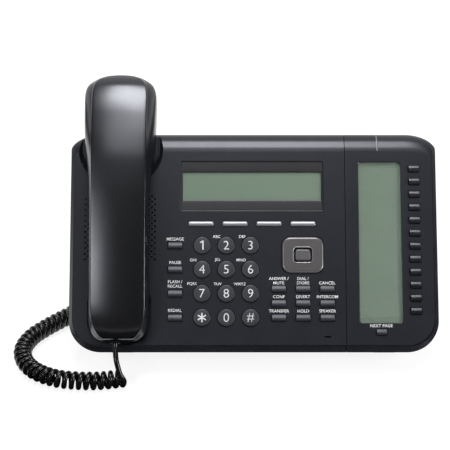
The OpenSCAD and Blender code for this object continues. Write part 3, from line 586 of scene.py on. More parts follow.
def flared_opening(place, width, height, radius, flare):
    """A cutter that gives an opening in the face a sloping edge."""
    bm = bmesh.new()
    loft(bm, [level(rounded(place, width + 2 * grow, height + 2 * grow, radius + grow, 8), w)
              for grow, w in ((-0.02, -0.6 * flare), (flare, 0), (flare, PAST))])
    return bm


def ear_pocket(rings):
    """A cutter for the ear pocket: half an ellipse that is open towards the top edge."""
    bm = bmesh.new()
    top = BODY_L + EAR_PAST
    loft(bm, [level([*arc((HANDSET_U, EAR_V), ru, rv, 180, 360, 32),
                     (HANDSET_U + ru, top), (HANDSET_U - ru, top)], w) for ru, rv, w in rings])
    return bm


def over_speaker(place):
    return abs(place.x - HANDSET_U) < SPEAKER_HALF_U and abs(place.y - SPEAKER_V) < SPEAKER_HALF_V


def in_display(place):
    return abs(place.x - FRAME_U) < FRAME_W / 2 + 1 and abs(place.y - FRAME_V) < FRAME_H / 2 + 1


def in_cradle(place):
    return abs(place.x - HANDSET_U) < CRADLE_HALF and not over_speaker(place)


def make_front_cover():
    mouth = (HANDSET_U, MOUTH_V)
    inside = carve(cover_body(WALL, COVER_T + PAST), ear_pocket([
        (EAR_WALL_U, EAR_WALL_V, 0), (EAR_WALL_U, EAR_WALL_V, -EAR_T - WALL)]))
    inside = cut_plates(inside, (
        [rounded(mouth, MOUTH_W + 2 * WALL, MOUTH_L + 2 * WALL, MOUTH_R + WALL)], 0, MOUTH_T + WALL))
    shell = carve(cover_part(-1), inside)
    shell = carve(shell, ear_pocket(EAR_RINGS))
    shell = cut_plates(shell, ([rounded(mouth, MOUTH_W, MOUTH_L, MOUTH_R, 12)], -PAST, MOUTH_T))
    holes = [
        *(circle(p, DIAL_D / 2 + KEY_GAP, 40) for p in DIAL_PLACES),
        *(key_hole(p, SMALL_KEY) for p in [*LEFT_PLACES, *FUNCTION_PLACES]),
        *(key_hole(p, SOFT_KEY) for p in SOFT_PLACES),
        rounded(NAV_PLACE, NAV_W + 2 * NAV_GAP, NAV_H + 2 * NAV_GAP, NAV_R, 8),
        rounded((FRAME_U, FRAME_V), FRAME_W, FRAME_H, FRAME_R),
        rounded(MIC_PLACE, *MIC_SLOT, 0.5, 3),
        *(circle(p, HOLE_D / 2, 8) for p in HOLE_PLACES)]
    ticks = [rounded((u, TICK_V), TICK_W, TICK_L, 0.2, 2) for u, _ in SOFT_PLACES]
    shell = cut_plates(shell, (holes, -PAST, WALL + PAST), (ticks, -PAST, TICK_T))
    shell = cut_plates(shell, (
        [rounded((HANDSET_U, HOOK_V), *HOOK_HOLE, 0.8)], EAR_T - PAST, EAR_T + WALL + PAST))
    shell = carve(shell, flared_opening((FRAME_U, FRAME_V), FRAME_W, FRAME_H, FRAME_R, FRAME_FLARE))
    round_edges(shell, CRADLE_EDGE_R, in_cradle, 3)
    round_edges(shell, FINE_EDGE_R, lambda p: p.x > HANDSET_U + CRADLE_HALF and not in_display(p))
    cover = settle(shell, "front_shell", grained_abs, "base")
    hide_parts("front_cover")


# Black ABS with an eroded grain, drawn coarse to show: satin, its highlight spread wide
# The specular tint paints a faint blue cast on the highlights, standing in for a bluish light
SHINE = {"IOR": 1.54, "Specular IOR Level": 0.52, "Specular Tint": linear("#eef0fa")}
grained_abs = grained_finish("eroded_black_abs", "#23252a", "#1c1d22", 0.31, 0.9, 22, **SHINE)
make_front_cover()

# ---------------------------------------------------------------- side cover
# The right part of the face, a separate shell of the same ABS that meets the front cover at a fine
# seam. It carries the label display and the twelve line keys, and leaves room for the lamp.
LABEL_U, LABEL_V, LABEL_W, LABEL_L, LABEL_R = 90.4, 80.3, 30.3, 116.7, 1.5
LABEL_FLARE = 0.5
LINE_PLACES = [(115.2, 30.2 + 9.4 * i) for i in range(12)]
LINE_KEY = (7.8, 4.8)
PAGE_PLACE = (LABEL_U, 15.4)
PAGE_KEY = (7.4, 4.3)
LAMP_V = BODY_L - ROLL_R - 1.5
LAMP_W = 24
LAMP_T = 9
SIDE_EDGE_R = 0.3


def box(bm, low, high):
    """A block between two corners."""
    outline = [(low[0], low[1]), (high[0], low[1]), (high[0], high[1]), (low[0], high[1])]
    plates(bm, [outline], -high[2], -low[2])


def make_side_cover():
    shell = carve(cover_part(1), cover_body(WALL, COVER_T + PAST))
    holes = [*(key_hole(p, LINE_KEY) for p in LINE_PLACES), key_hole(PAGE_PLACE, PAGE_KEY),
             rounded((LABEL_U, LABEL_V), LABEL_W, LABEL_L, LABEL_R, 8)]
    shell = cut_plates(shell, (holes, -PAST, WALL + PAST))
    shell = carve(shell, flared_opening((LABEL_U, LABEL_V), LABEL_W, LABEL_L, LABEL_R, LABEL_FLARE))
    room = bmesh.new()
    box(room, (SEAM_U - PAST, LAMP_V, -LAMP_T), (SEAM_U + LAMP_W, BODY_L + PAST, PAST))
    shell = carve(shell, room)
    round_edges(shell, SIDE_EDGE_R, lambda p: p.y < LAMP_V - 0.5 and p.x > SEAM_U + 1)
    cover = settle(shell, "side_shell", grained_abs, "base")
    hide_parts("side_cover")


make_side_cover()

# ---------------------------------------------------------------- message lamp
# A light guide of smoky polycarbonate let into the rolled edge beside the seam. Unlit, it is nearly
# as dark as the covers, and only its polished end face shows, drawn pale: partly frosting, partly a
# painted highlight.
LAMP_GAP = 0.15
LAMP_END = 0.9


def make_lamp():
    strip = carve(cover_body(0, COVER_T), cover_body(WALL, COVER_T + PAST))
    room = bmesh.new()
    box(room, (SEAM_U + SEAM_GAP / 2, LAMP_V + LAMP_GAP, LAMP_GAP - LAMP_T),
        (SEAM_U + LAMP_W - LAMP_GAP, BODY_L + PAST, PAST))
    strip = carve(strip, room, "INTERSECT")
    end = SEAM_U + LAMP_W - LAMP_END
    bmesh.ops.bisect_plane(strip, geom=[*strip.verts, *strip.edges, *strip.faces], plane_co=(end, 0, 0),
                           plane_no=(1, 0, 0))
    for face in strip.faces:
        # The faces past the end take the pale end colour, partly a painted highlight along the lamp's
        # edge
        face.material_index = face.calc_center_median().x > end
    lamp = settle(strip, "lamp_light_guide", smoky_polycarbonate, "base")
    lamp.data.materials.append(frosted_and_highlight_polycarbonate)
    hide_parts("message_lamp")


# Smoky polycarbonate, polished in the mould: deep grey, with a sharp reflection
smoky_polycarbonate = grained_finish("smoky_polycarbonate", "#1a1b20", "#16171c", 0.33, 3, 3, **SHINE)
# The end of the guide is frosted and drawn pale: partly its frosting, partly a painted highlight of its
# edge
frosted_and_highlight_polycarbonate = grained_finish("frosted_and_highlight_polycarbonate", "#8b8d93", "#7e8086", 0.4, 1, 4)
make_lamp()

# ---------------------------------------------------------------- main display
# A liquid crystal module behind a clear acrylic window, held by a dark frame that sits a little
# below the face. The lower lip of the frame is chamfered and catches the light.
GLASS_W, GLASS_H = 99.6, 20.7
BEZEL_DROP, BEZEL_T, BEZEL_GAP = 1, 2.4, 0.15
LIP, LIP_SIDE, LIP_DROP = 1.1, 0.3, 0.4


def frame_solid(bm, rings):
    """A closed frame through rings of as many points, the last bridged back to the first."""
    loops = draw_loops(bm, rings)
    for low, high in zip(loops, loops[1:] + loops[:1]):
        bmesh.ops.bridge_loops(bm, edges=low + high)
    bmesh.ops.recalc_face_normals(bm, faces=bm.faces)


def make_bezel():
    bm = bmesh.new()
    place = (FRAME_U, FRAME_V)
    outer = rounded(place, FRAME_W - 2 * BEZEL_GAP, FRAME_H - 2 * BEZEL_GAP, FRAME_R - BEZEL_GAP)
    lip = rounded(place, GLASS_W + 2 * LIP_SIDE, GLASS_H + 2 * LIP, 0.5)
    inner = rounded(place, GLASS_W, GLASS_H, 0.2)
    low, high = -BEZEL_DROP - BEZEL_T, -BEZEL_DROP
    frame_solid(bm, [level(outer, low), level(outer, high), level(lip, high),
                     level(inner, high - LIP_DROP), level(inner, low)])
    bezel = settle(bm, "display_frame", satin_bezel_abs, "base")
    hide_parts("display_bezel")


def dress(finish, *nodes):
    """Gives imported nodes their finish."""
    for name in nodes:
        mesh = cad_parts[name].data
        mesh.materials.clear()
        mesh.materials.append(finish)


def clear_acrylic():
    """Clear acrylic sheet with an anti-glare coat: nearly invisible, its reflection spread wide."""
    finish, tree, shader = new_finish("clear_acrylic", {
        "Base Color": linear("#dfe6df"), "Roughness": 0.34, "IOR": 1.49, "Alpha": 0.06})
    place = add_node(tree, "ShaderNodeTexCoord")
    haze = add_node(tree, "ShaderNodeTexNoise", {"Vector": place.outputs["Object"], "Scale": 90})
    gloss = add_node(tree, "ShaderNodeMapRange", {
        "Value": haze.outputs["Fac"], "To Min": 0.3, "To Max": 0.38})
    tree.links.new(gloss.outputs["Result"], shader.inputs["Roughness"])
    return finish


def liquid_crystal(name, dot, clear, cloudy):
    """Reflective liquid crystal glass over a green polariser: rows of fine clear dots."""
    finish, tree, shader = new_finish(name, {"Roughness": 0.45})
    place = add_node(tree, "ShaderNodeTexCoord")
    flat = add_node(tree, "ShaderNodeMapping", {
        "Vector": place.outputs["Object"], "Rotation": (-TILT, 0, 0)})
    split = add_node(tree, "ShaderNodeSeparateXYZ", {"Vector": flat.outputs["Vector"]})
    lines = []
    for axis in ("X", "Y"):
        turns = add_node(tree, "ShaderNodeMath", {
            0: split.outputs[axis], 1: 2 * math.pi / (dot * MM)}, operation="MULTIPLY")
        wave = add_node(tree, "ShaderNodeMath", {0: turns.outputs["Value"]}, operation="SINE")
        lines.append(wave.outputs["Value"])
    grid = add_node(tree, "ShaderNodeMath", {0: lines[0], 1: lines[1]}, operation="MAXIMUM")
    cell = add_node(tree, "ShaderNodeMapRange", {
        "Value": grid.outputs["Value"], "From Min": 0.7, "From Max": 1, "To Max": 0.05})
    cloud = add_node(tree, "ShaderNodeTexNoise", {"Vector": place.outputs["Object"], "Scale": 25})
    tone = add_node(tree, "ShaderNodeMix", {
        0: cloud.outputs["Fac"], 6: linear(clear), 7: linear(cloudy)}, data_type="RGBA")
    shown = add_node(tree, "ShaderNodeMix", {
        0: cell.outputs["Result"], 6: tone.outputs[2], 7: linear("#5f7561")}, data_type="RGBA")
    tree.links.new(shown.outputs[2], shader.inputs["Base Color"])
    return finish


# The frame is a finer grained ABS, a shade lighter than the covers
satin_bezel_abs = grained_finish("satin_grey_abs", "#2b2a2e", "#262529", 0.4, 0.4, 5)
make_bezel()
# Green liquid crystal: dull glass with a fine dotted grid, paler in the label display
main_lcd = liquid_crystal("green_liquid_crystal", 0.6, "#617a66", "#697d68")
label_lcd = liquid_crystal("pale_green_liquid_crystal", 0.6, "#7b967f", "#829b82")
window_acrylic = clear_acrylic()
dress(window_acrylic, "display_window", "label_window")
dress(main_lcd, "display_panel")
dress(label_lcd, "label_panel")

# ---------------------------------------------------------------- dial keys
# Twelve caps of black ABS on rubber domes, turned in outline and slightly crowned, with the
# characters pad-printed in white ink.
KEY_TOP = 1.3
FLANGE_TOP, FLANGE_T, FLANGE_OUT = 2.7, 1.2, 1.3
STEM_R, STEM_END = 2.2, 6
DIAL_CROWN = 0.35
DIAL_WORDS = ["1", "2", "3", "4", "5", "6", "7", "8", "9", "*", "0", "#"]
DIAL_NAMES = ["1", "2", "3", "4", "5", "6", "7", "8", "9", "star", "0", "hash"]
DIGIT_SIZE, DIGIT_LIFT, DIGIT_WEIGHT = 9.2, 0.22, -0.008
STAR_R, STAR_ARM = 3.3, 0.95
ONE_OUTLINE = [(0.2, -3.3), (1.1, -3.3), (1.1, 3.3), (0.35, 3.3), (-1.5, 2.3), (-1.15, 1.55),
               (0.2, 2.2)]
INK_T = 0.05


def print_words(bm, words, place, size, lift, weight, material_index=0):
    """Adds flat printed words, as thick as a layer of ink, centred on a place."""
    curve = bpy.data.curves.new("words", "FONT")
    curve.body = words
    curve.size = size
    curve.align_x, curve.align_y = "CENTER", "CENTER"
    curve.offset = weight * size
    curve.resolution_u = 3
    curve.extrude = INK_T / 2
    carrier = bpy.data.objects.new("words", curve)
    mesh = bpy.data.meshes.new_from_object(carrier)
    low = [min(v.co[k] for v in mesh.vertices) for k in (0, 1)]
    high = [max(v.co[k] for v in mesh.vertices) for k in (0, 1)]
    mesh.transform(Matrix.Translation((
        place[0] - (low[0] + high[0]) / 2, place[1] - (low[1] + high[1]) / 2, lift)))
    before = len(bm.faces)
    bm.from_mesh(mesh)
    bm.faces.ensure_lookup_table()
    for face in bm.faces[before:]:
        face.material_index = material_index
    bpy.data.objects.remove(carrier)
    bpy.data.curves.remove(curve)
    bpy.data.meshes.remove(mesh)


def star_outline():
    """The star of the dial: six arms about its middle."""
    outline = []
    for arm in range(6):
        turn = Matrix.Rotation(math.radians(90 + 60 * arm), 2)
        notch = (STAR_ARM * math.cos(math.radians(30)), STAR_ARM / 2)
        for corner in ((STAR_R, -STAR_ARM / 2), (STAR_R, STAR_ARM / 2), notch):
            outline.append(turn @ Vector(corner))
    return outline


def print_outline(bm, outline, place, lift):
    """Adds one printed shape of that outline about a place."""
    before = set(bm.faces)
    shape = [(place[0] + x, place[1] + y) for x, y in outline]
    plates(bm, [shape], -lift - INK_T / 2, -lift + INK_T / 2)
    for face in bm.faces:
        if face not in before:
            face.material_index = 1


def turned(bm, place, profile, steps=48):
    """A solid turned round the axis through a place, from its profile of radius and height."""
    verts = [bm.verts.new((place[0] + r, place[1], w)) for r, w in profile]
    edges = [bm.edges.new(pair) for pair in zip(verts, verts[1:])]
    before = set(bm.faces)
    bmesh.ops.spin(bm, geom=[*verts, *edges], cent=(*place, 0), axis=(0, 0, 1), angle=2 * math.pi,
                   steps=steps, use_merge=True)
    made = list({vert for face in bm.faces if face not in before for vert in face.verts})
    bmesh.ops.remove_doubles(bm, verts=made, dist=0.001)
    bmesh.ops.recalc_face_normals(bm, faces=[face for face in bm.faces if face not in before])


def make_dial_key(place, name, word):
    bm = bmesh.new()
    r, flange_end = DIAL_D / 2, -FLANGE_TOP - FLANGE_T
    dome = [(r * x, KEY_TOP - 0.15 + DIAL_CROWN * (1 - x * x)) for x in (0, 0.3, 0.6, 0.8)]
    turned(bm, place, [
        *dome, (r - 0.45, KEY_TOP - 0.1), (r - 0.15, KEY_TOP - 0.28), (r, KEY_TOP - 0.6),
        (r, -FLANGE_TOP), (r + FLANGE_OUT, -FLANGE_TOP), (r + FLANGE_OUT, flange_end),
        (STEM_R, flange_end), (STEM_R, -STEM_END), (0, -STEM_END)])
    drawn = {"*": star_outline(), "1": ONE_OUTLINE}
    if word in drawn:
        print_outline(bm, drawn[word], place, KEY_TOP + DIGIT_LIFT)
    else:
        print_words(bm, word, place, DIGIT_SIZE, KEY_TOP + DIGIT_LIFT, DIGIT_WEIGHT, 1)
    cap = settle(bm, "dial_cap_" + name, key_abs, "key_" + name)
    cap.data.materials.append(white_ink)
    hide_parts("key_" + name)


def printing_ink(name, colour, shade):
    """Screen-printed ink: an even satin coat with a faint mottle."""
    return grained_finish(name, colour, shade, 0.5, 0.3, 2)


# Key caps are moulded with a finer grain than the covers, so they shine a little more
key_abs = grained_finish("fine_grained_key_abs", "#37383c", "#303135", 0.42, 0.35, 5, **SHINE)
white_ink = printing_ink("white_pad_printing_ink", "#e9eaec", "#dfe0e3")
for dial_place, dial_name, dial_word in zip(DIAL_PLACES, DIAL_NAMES, DIAL_WORDS):
    make_dial_key(dial_place, dial_name, dial_word)

# ---------------------------------------------------------------- small keys
# Four keys left of the dial, nine right of it, the page key and the twelve line keys: barrel-shaped
# caps of the same ABS, highest below their middle, so their upper slopes catch the light.
BAR_FLANGE = 2.7
END_DROP = 0.45
# Where a cap's rings stand, as parts of its half length, and how far each is below the middle ones
END_RINGS = {-1: END_DROP, -0.965: 0.13, -0.9: 0, 0.9: 0, 0.965: 0.13, 1: END_DROP}


def bar_key(bm, place, size, section):
    """A key cap drawn along u from its section of height up the slope, with rounded ends."""
    width, height = size
    rings = []
    for end, drop in END_RINGS.items():
        u = place[0] + end * width / 2
        pull = 1 - 0.12 * drop / END_DROP
        top = [(u, place[1] + x * height / 2 * pull, w - drop) for x, w in section]
        rings.append([(u, place[1] - height / 2 * pull, -FLANGE_TOP), *top,
                      (u, place[1] + height / 2 * pull, -FLANGE_TOP)])
    loft(bm, rings)
    flange = rounded(place, width + BAR_FLANGE, height + BAR_FLANGE, KEY_R)
    plates(bm, [flange], FLANGE_TOP, FLANGE_TOP + FLANGE_T)
    plates(bm, [circle(place, STEM_R, 16)], FLANGE_TOP + FLANGE_T, STEM_END)


SMALL_SECTION = [(-1, 0.5), (-0.93, 0.95), (-0.8, 1.35), (-0.55, 1.68), (-0.3, 1.75), (0, 1.6),
                 (0.4, 1.22), (0.8, 0.72), (0.95, 0.42), (1, 0.1)]


def make_bar_key(place, size, section, finish, node):
    bm = bmesh.new()
    bar_key(bm, place, size, section)
    cap = settle(bm, "cap_of_" + node, finish, node, sharp=40)
    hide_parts(node)


for number, key_place in enumerate(LEFT_PLACES, 1):
    make_bar_key(key_place, SMALL_KEY, SMALL_SECTION, key_abs, f"left_key_{number}")
for number, key_place in enumerate(FUNCTION_PLACES, 1):
    make_bar_key(key_place, SMALL_KEY, SMALL_SECTION, key_abs, f"function_key_{number}")
make_bar_key(PAGE_PLACE, PAGE_KEY, SMALL_SECTION, key_abs, "page_key")

LINE_SECTION = [(-1, 0.1), (-0.96, 0.5), (-0.7, 1.15), (-0.3, 1.72), (-0.02, 2.08), (0.06, 2.14),
                (0.14, 2.12), (0.5, 1.84), (0.85, 1.5), (0.96, 1.1), (1, 0.3)]


def make_line_keys():
    bm = bmesh.new()
    for place in LINE_PLACES:
        bar_key(bm, place, LINE_KEY, LINE_SECTION)
    caps = settle(bm, "line_key_caps", shaded_line_key_abs, "line_keys", sharp=40)
    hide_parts("line_keys")


# The line keys are drawn in a darker copy of the key ABS, a painted shade for their dark lower faces
shaded_line_key_abs = grained_finish("shaded_black_key_abs", "#1b1b1e", "#161618", 0.36, 0.35, 5,
                               **{**SHINE, "Specular IOR Level": 0.75})
make_line_keys()

# ---------------------------------------------------------------- display keys
# Four bars under the display, moulded in ABS and sprayed with silver paint. Each stands on its own
# rubber dome, like the small keys.
SOFT_SECTION = [(-1, 0.2), (-0.95, 0.7), (-0.8, 1.15), (-0.5, 1.5), (-0.1, 1.62), (0.3, 1.5),
                (0.7, 1.12), (0.9, 0.75), (0.98, 0.45), (1, 0.1)]
FLAKE = 0.25


def silver_paint():
    """Sprayed silver paint: light grey with flakes that glitter a little, drawn coarse to show."""
    finish, tree, shader = new_finish("sprayed_silver_paint", {"Metallic": 0.55, "Roughness": 0.38})
    place = add_node(tree, "ShaderNodeTexCoord")
    flakes = add_node(tree, "ShaderNodeTexVoronoi", {
        "Vector": place.outputs["Object"], "Scale": 1 / (FLAKE * MM)})
    tone = add_node(tree, "ShaderNodeMix", {
        0: flakes.outputs["Distance"], 6: linear("#b3b4b9"), 7: linear("#a4a5aa")}, data_type="RGBA")
    bump = add_node(tree, "ShaderNodeBump", {
        "Height": flakes.outputs["Distance"], "Strength": 1, "Distance": 4 * MM * MM})
    tree.links.new(tone.outputs[2], shader.inputs["Base Color"])
    tree.links.new(bump.outputs["Normal"], shader.inputs["Normal"])
    return finish


silver_key_paint = silver_paint()
for number, key_place in enumerate(SOFT_PLACES, 1):
    make_bar_key(key_place, SOFT_KEY, SOFT_SECTION, silver_key_paint, f"soft_key_{number}")

# ---------------------------------------------------------------- navigation key
# A rocker plate of ABS in warm grey metallic paint, with a polished chamfer round it drawn lighter as a
# painted highlight, small engraved arrows, and a separate centre key in its middle.
NAV_BOTTOM = 4.5
CENTRE_FLANGE = 2.15
# Width, height and corner radius
NAV_HOLE = (12.9, 10.3, 2)
CENTRE_KEY = (10.6, 8, 1.6)
# Each arrow by its place from the middle of the key and its turn in degrees
ARROWS = [(0, 8.4, 0), (-10.3, 0, 90), (10.3, 0, -90), (0, -8.4, 180)]
ARROW_SIZE, ARROW_T = 1.1, 0.25


def stepped(place, size, radius, levels, steps=8):
    """Rings of one outline at several levels, each drawn in by its own inset."""
    return [level(rounded(place, size[0] - 2 * inset, size[1] - 2 * inset, radius - inset, steps), w)
            for inset, w in levels]


def arrow_outline(du, dv, turn):
    """A small triangle on the navigation key."""
    angles = [math.radians(turn + a) for a in (0, 120, 240)]
    return [(NAV_PLACE[0] + du - ARROW_SIZE * math.sin(a), NAV_PLACE[1] + dv + ARROW_SIZE * math.cos(a))
            for a in angles]


def make_navigation_key():
    bm = bmesh.new()
    outer = stepped(NAV_PLACE, (NAV_W, NAV_H), NAV_R, [
        (0, -NAV_BOTTOM), (0, 0.35), (0.12, 0.7), (0.45, 1), (1.1, 1.22), (1.5, KEY_TOP)])
    hole = stepped(NAV_PLACE, NAV_HOLE[:2], NAV_HOLE[2], [
        (-0.9, KEY_TOP), (-0.5, KEY_TOP + 0.12), (-0.2, KEY_TOP), (0, 0.9), (0, -NAV_BOTTOM)])
    frame_solid(bm, [*outer, *hole])
    bm = cut_plates(bm, ([arrow_outline(*arrow) for arrow in ARROWS], -2, -KEY_TOP + ARROW_T))
    plate = settle(bm, "navigation_plate", warm_grey_paint, "navigation")
    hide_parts("navigation_key")


def make_navigation_highlight_trim():
    """Two rims of the plate drawn in lighter paint as a painted highlight: its outer chamfer and the
    lip round its hole.
    """
    bm = bmesh.new()
    frame_solid(bm, stepped(NAV_PLACE, (NAV_W, NAV_H), NAV_R, [
        (0.1, 0.4), (-0.03, 0.4), (0.08, 0.76), (0.4, 1.07), (0.85, 1.2), (0.85, 0.9)]))
    frame_solid(bm, stepped(NAV_PLACE, NAV_HOLE[:2], NAV_HOLE[2], [
        (-0.8, KEY_TOP - 0.2), (-0.8, KEY_TOP + 0.08), (-0.5, KEY_TOP + 0.17), (-0.15, KEY_TOP),
        (-0.15, KEY_TOP - 0.2)]))
    trim = settle(bm, "navigation_highlight_trim", highlight_trim_paint, "navigation")


def make_centre_key():
    bm = bmesh.new()
    loft(bm, stepped(NAV_PLACE, CENTRE_KEY[:2], CENTRE_KEY[2], [
        (0, -STEM_END), (0, 0.6), (0.15, 0.95), (0.5, 1.2), (1.2, KEY_TOP)]))
    width, height, radius = CENTRE_KEY
    flange = rounded(NAV_PLACE, width + 2 * CENTRE_FLANGE, height + 2 * CENTRE_FLANGE, radius)
    plates(bm, [flange], STEM_END - 1, STEM_END)
    cap = settle(bm, "centre_cap", centre_paint, "centre_key")
    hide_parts("centre_key")


# Metallic paint with fine flakes over ABS: satin and warm grey, with a lighter paint on the rims as a
# painted highlight
warm_grey_paint = grained_finish(
    "warm_grey_metallic_paint", "#625f61", "#5a5759", 0.38, 0.3, 4, Metallic=0.35)
centre_paint = grained_finish("silver_grey_paint", "#6c6b6e", "#646366", 0.36, 0.3, 4, Metallic=0.4)
highlight_trim_paint = grained_finish(
    "painted_highlight_trim_paint", "#838285", "#79787b", 0.3, 0.3, 3, Metallic=0.5)
make_navigation_key()
make_navigation_highlight_trim()
make_centre_key()

# ---------------------------------------------------------------- printed words
# Plain function words and letter groups, screen-printed on the covers in light grey ink after
# moulding, each beside the key it names.
WORD_SIZE, LETTER_SIZE = 3.05, 2.9
WORD_LIFT, WORD_WEIGHT = 0.01, 0.003
LETTERS = [
    ("ABC", -26.5, 84.1), ("DEF", -8.1, 84.1), ("GHI", -43.2, 67.1), ("JKL", -25.8, 67.1),
    ("MNO", -9, 67.1), ("PQRS", -44, 49.8), ("TUV", -25.7, 49.8), ("WXYZ", -10, 49.8)]
LEFT_WORDS = [("MESSAGE", 82.3), ("PAUSE", 65.3), ("FLASH /", 51.4), ("RECALL", 48.2), ("REDIAL", 30.8)]
# By the column of the function keys that each stands over
FUNCTION_WORDS = [
    ("ANSWER /", 0, 53.7), ("MUTE", 0, 50.5), ("DIAL /", 1, 53.7), ("STORE", 1, 50.5),
    ("CANCEL", 2, 50.5), ("CONF", 0, 40.6), ("DIVERT", 1, 40.6), ("INTERCOM", 2, 40.6),
    ("TRANSFER", 0, 30.4), ("HOLD", 1, 30.4), ("SPEAKER", 2, 30.4)]
COVER_WORDS = [
    *((text, u, v, LETTER_SIZE) for text, u, v in LETTERS),
    *((text, LEFT_PLACES[0][0], v, WORD_SIZE) for text, v in LEFT_WORDS),
    *((text, FUNCTION_PLACES[column][0], v, WORD_SIZE) for text, column, v in FUNCTION_WORDS)]
PAGE_WORDS = [("NEXT PAGE", 90.3, 19.9, WORD_SIZE)]


def make_words(name, words):
    bm = bmesh.new()
    for text, u, v, size in words:
        print_words(bm, text, (u, v), size, INK_T / 2 + WORD_LIFT, WORD_WEIGHT)
    legend = settle(bm, name, grey_ink, "base")


# Screen ink laid down thick, so it covers well: pale grey and satin
grey_ink = printing_ink("light_grey_printing_ink", "#fbfbfc", "#f2f3f5")
make_words("cover_lettering", COVER_WORDS)
make_words("page_lettering", PAGE_WORDS)

# ---------------------------------------------------------------- handset
# Two shells of black ABS, moulded in polished moulds and glued at the parting line: the back with
# its long crowned face, and the inner face with the ear cap and the mouth cap.
SHELL_WALL = 2.2
CROWN = 1.5
PARTING_GAP = 0.15
# The handset's sections, each by its place v, its half widths at the parting line and at the crown,
# and its heights at the inner face, at the parting line and at the outer face
SECTIONS = [
    (8, 13, 9.5, 3, 12, 14.6), (9.4, 15.8, 12, 1, 12.1, 17.4), (12, 18.3, 14.2, -0.6, 12.3, 19.6),
    (16, 20, 16.4, -1.6, 12.5, 21.4), (22, 21.1, 18.1, -2, 12.7, 23.1),
    (30, 21.3, 18.8, -2, 12.8, 24.6), (40, 21.3, 18.8, -2, 13, 26), (48, 21.3, 18.8, 1, 13.5, 27),
    (56, 21.3, 18.8, 7, 15, 27.9), (70, 21.3, 18.8, 10, 17, 29.4), (85, 21.3, 18.8, 11.6, 18.5, 30.7),
    (100, 21.3, 18.8, 12.5, 19.5, 31.8), (112, 21.6, 18.85, 12.2, 19.4, 32.5),
    (125, 22.2, 18.9, 11, 19, 32.9), (138, 23.6, 19, 4, 18, 32.9), (150, 25, 19.1, 0.5, 17, 32),
    (161, 25.6, 19.1, 0.1, 16, 30.3), (171, 25.8, 19.1, 0, 15, 28.4),
    (179.5, 25.9, 19.1, 0.5, 14, 26.2), (186, 25.6, 18.8, 2, 13, 23.9),
    (190.5, 24.5, 18, 3, 12.3, 21.8), (193.6, 22.2, 16.5, 4, 11.8, 19.5),
    (196.5, 18.2, 14, 5, 11.2, 16.7), (198.4, 14, 11, 5.8, 10.8, 14),
    (199.3, 9.8, 8.4, 6.3, 10.5, 13), (199.6, 6, 5, 7, 10.2, 12.2)]
BACK_STEP, FACE_STEP, HOLLOW_STEP = 2.5, 3, 10
GRIP_V = 60
EAR_CAP_V, EAR_CAP_R = (157, 172), 19
MOUTH_CAP_V, MOUTH_CAP_R = 30, 14
CAP_DROP = 0.3
CAPSULE_TOP = 6
RECEIVER_V, RECEIVER_R = 165, 15.15
MIC_V, MIC_R = 30, 4.95
# The holes of the two grilles: rings by their radius and their number of holes
GRILLE_RINGS = [(0, 1), (3.4, 6), (6.8, 12)]
EAR_HOLE_R, MIC_HOLE_R = 0.75, 0.7
PLUG_W, PLUG_L, PLUG_LOW, PLUG_HIGH = 7.9, 17, 4.65, 11.35


def stations(step):
    """The handset's sections, drawn smooth between the given ones."""
    return smooth_route([Vector(section) for section in SECTIONS], step, lambda leg: leg[0])


def back_ring(v, a, b, parting, face):
    """Across the outer shell: up one side, round the edge, over the crown and down the other.
    Above the grip, where the shell flares out, its sides lean in further."""
    wide = min(1, max(0, (a - b - 2.6) / 4)) if v > GRIP_V else 0
    out = b + 0.95 + 0.25 * (a - b)
    half = [(a - 0.4, parting),
            (out + wide * 0.6 * (a - out),
             parting + (0.6 + 0.1 * wide) * (face - parting) - 0.6 - 2 * wide),
            (b + 0.6 + 0.7 * wide, face - 1.7 - 0.6 * wide), (b + 0.4, face - 0.8),
            (b + 0.24, face - 0.34), (b, face - 0.08), (b - 0.4, face + 0.04)]
    over = [(x * b, face + CROWN * (1 - x * x)) for x in (0.9, 0.75, 0.55, 0.3)]
    right = half + over
    ring = [*right, (0, face + CROWN), *[(-u, w) for u, w in reversed(right)]]
    return [(HANDSET_U + u, v, w) for u, w in ring]


def back_shell(step):
    """The outer shell, drawn section by section: over the outside and back along the inside. Its
    ends are solid, and there the way back runs along the parting line."""
    rings = []
    hollow_before = False
    for v, a, b, _, parting, face in stations(step):
        low = parting + PARTING_GAP
        outside = back_ring(v, a, b, low, face)
        inside = back_ring(v, a - SHELL_WALL, b - SHELL_WALL, low, face - SHELL_WALL)[::-1]
        rim = [(u * 0.9 + HANDSET_U * 0.1, v, low) for u, _, _ in outside[::-1]]
        hollow = b > 3 * SHELL_WALL and face - parting > 2 * SHELL_WALL
        if rings and hollow != hollow_before:
            rings.append(outside + (rim if hollow else inside))
        rings.append(outside + (inside if hollow else rim))
        hollow_before = hollow
    bm = bmesh.new()
    loft(bm, rings)
    bmesh.ops.remove_doubles(bm, verts=bm.verts, dist=0.0005)
    bmesh.ops.recalc_face_normals(bm, faces=bm.faces)
    return bm


def face_ring(v, a, under, parting):
    """Across the inner shell: down one side, round its corner, and up the other."""
    r = min(4, 0.45 * (parting - under), a / 2)
    corner = arc((a - r, under + r), r, r, 0, -90, 5)
    right = [(a - 0.4, parting), *corner]
    return [(HANDSET_U + u, v, w) for u, w in [*right, *[(-u, w) for u, w in reversed(right)]]]


def face_solid(inset, gap, step):
    """The inner shell as a solid, or its hollow where it is inset by the wall."""
    bm = bmesh.new()
    loft(bm, [face_ring(v, a - inset, under + inset, parting - gap)
              for v, a, _, under, parting, _ in stations(step)
              if not inset or (a >= 4 * inset and parting - under >= 3 * inset)])
    return bm


def ear_cap_outline(radius):
    return [*arc((HANDSET_U, EAR_CAP_V[0]), radius, radius, 180, 360, 20),
            *arc((HANDSET_U, EAR_CAP_V[1]), radius, radius, 0, 180, 20)]


